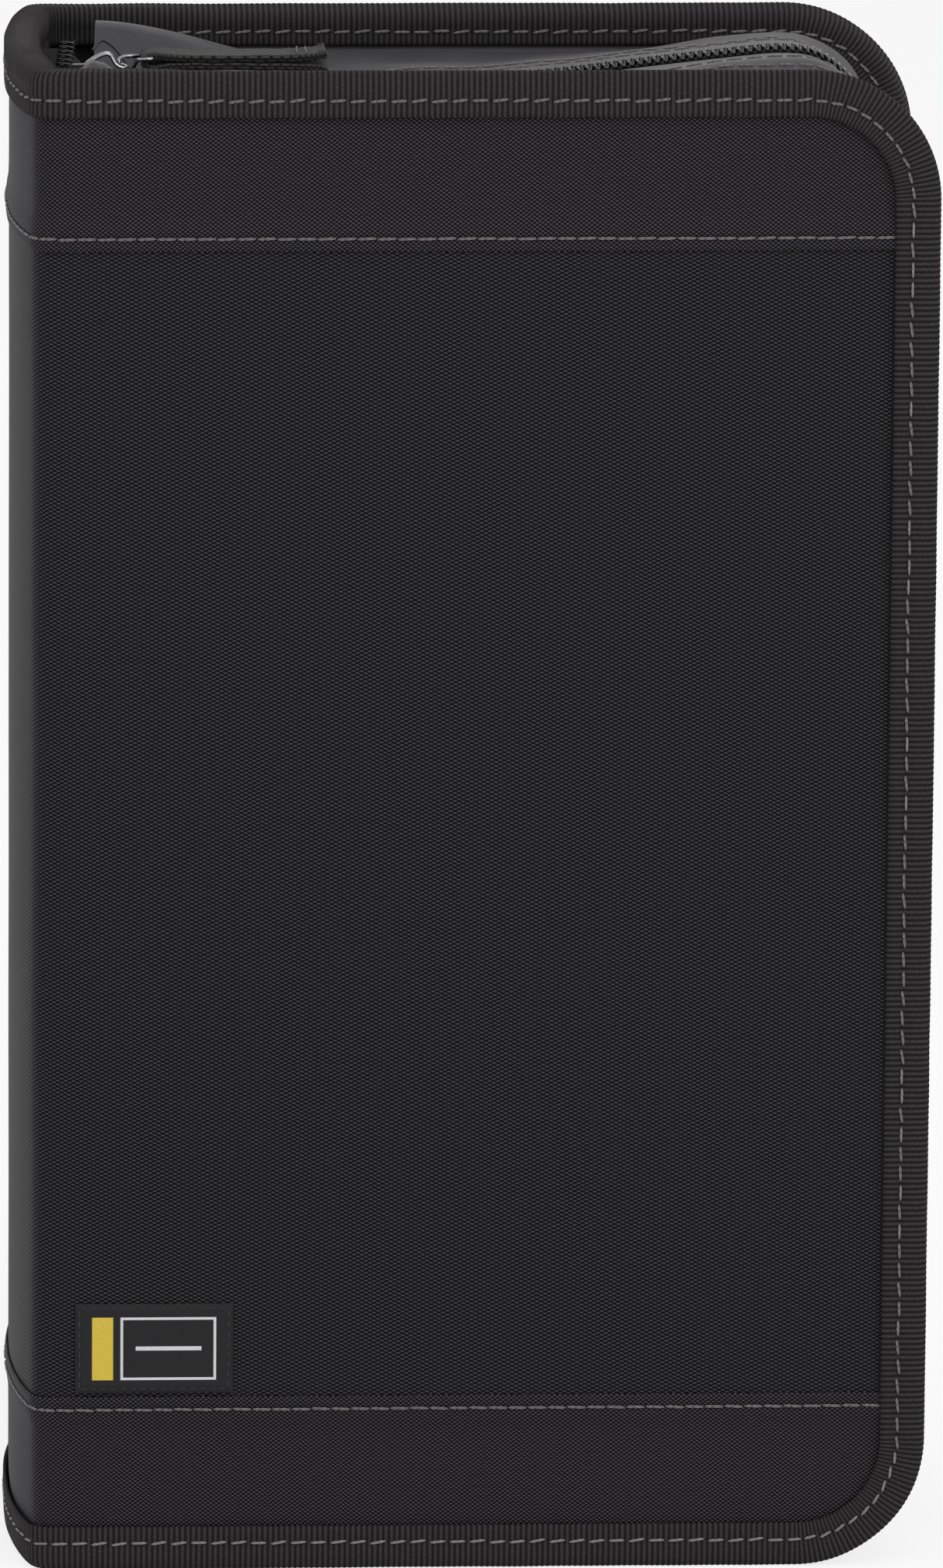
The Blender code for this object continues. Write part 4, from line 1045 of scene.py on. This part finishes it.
# Sleeve pages: 24 leaves of black fleece, bound together at the spine, with two film pockets on each side.
# A pocket is welded to the leaf round three sides and open, with a curved edge, towards the spine.
LEAF_COUNT = 24
LEAF_PITCH = 2.3 * MM
LEAF_BOUND, LEAF_FREE, LEAF_CORNER = -80.2 * MM, 67.4 * MM, 6 * MM
LEAF_WIDTH, LEAF_HEIGHT = LEAF_FREE - LEAF_BOUND, LEAF_HIGH - LEAF_LOW
POCKET_HEIGHT = 120.5 * MM
fleece, tree, shader = new_finish("page_fleece", 0.9, 0.1)
along, across, uv = cut_measure(tree)
felt = add_node(tree, "ShaderNodeTexNoise", uv, None, 1500.0, 4.0)
tint(tree, shader, felt, (0.3, (0.008, 0.008, 0.009)), (0.7, (0.03, 0.03, 0.032)))
raise_relief(tree, shader, felt, 0.1 * MM, 0.6)
film, tree, shader = new_finish("pocket_film", 0.16, 0.5)
along, across, uv = cut_measure(tree)
edge = figure(tree, "MINIMUM", across, figure(tree, "SUBTRACT", POCKET_HEIGHT, across))
edge = figure(tree, "MINIMUM", edge, figure(tree, "SUBTRACT", 137 * MM, along))
weld = figure(tree, "LESS_THAN", edge, 1.8 * MM)
ribs = figure(tree, "SINE", figure(tree, "MULTIPLY", figure(tree, "ADD", along, across), 7000.0))
pressed = figure(tree, "MULTIPLY", weld, ribs)
cloudy = add_node(tree, "ShaderNodeTexNoise", uv, None, 45.0, 3.0)
tone = figure(tree, "MULTIPLY_ADD", weld, 0.3, figure(tree, "MULTIPLY", cloudy, 0.6))
tint(tree, shader, tone, (0.1, (0.03, 0.03, 0.033)), (0.9, (0.09, 0.09, 0.097)))
raise_relief(tree, shader, figure(tree, "MULTIPLY_ADD", pressed, 0.15, cloudy), 0.5 * MM, 0.5)

for i in range(LEAF_COUNT):
    leaf_y = (i - (LEAF_COUNT - 1) / 2) * LEAF_PITCH

    def leaf_surface(x, z, lift):
        wave = noise.noise(Vector((x * 18, z * 14, i * 0.12))) * 0.3 * MM * ease(LEAF_BOUND, 0, x)
        return Vector((x, leaf_y + wave + lift, z))

    def leaf_place(u, v):
        z = LEAF_LOW + LEAF_HEIGHT * v
        rise = max(LEAF_CORNER - (z - LEAF_LOW), LEAF_CORNER - (LEAF_HIGH - z), 0)
        reach = LEAF_FREE - LEAF_CORNER + math.sqrt(max(LEAF_CORNER ** 2 - rise ** 2, 0))
        return leaf_surface(LEAF_BOUND + (reach - LEAF_BOUND) * u, z, 0)

    leaf = lay_cloth(f"leaf_{i + 1:02}", 14, 50, leaf_place, lambda u, v: (u * LEAF_WIDTH, v * LEAF_HEIGHT))
    leaf.data.materials.append(fleece)
    thicken(leaf, 0.9 * MM, 0)
    pocket_bm = bmesh.new()
    for face_side in (-1, 1):
        for low in (LEAF_LOW + 4 * MM, LEAF_LOW + 127.5 * MM):

            def pocket_place(u, v):
                opening = -73 * MM + 9 * MM * (1 - (2 * v - 1) ** 2)
                x = opening + (LEAF_FREE - 1.4 * MM - opening) * u
                puff = 0.06 * MM * math.sin(math.pi * v)
                return leaf_surface(x, low + POCKET_HEIGHT * v, face_side * (0.53 * MM + puff))

            pocket = lay_cloth(
                "pocket", 12, 14, pocket_place, lambda u, v: (u * 139 * MM, v * POCKET_HEIGHT),
                flip=face_side > 0,
            )
            pocket_bm.from_mesh(pocket.data)
            pocket_mesh = pocket.data
            bpy.data.objects.remove(pocket)
            bpy.data.meshes.remove(pocket_mesh)
    pockets = settle(pocket_bm, f"leaf_{i + 1:02}_pockets")
    pockets.data.materials.append(film)
    thicken(pockets, 0.12 * MM, 0)
    for piece in (leaf, pockets):
        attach(piece, "spine")
        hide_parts("disc_pages")
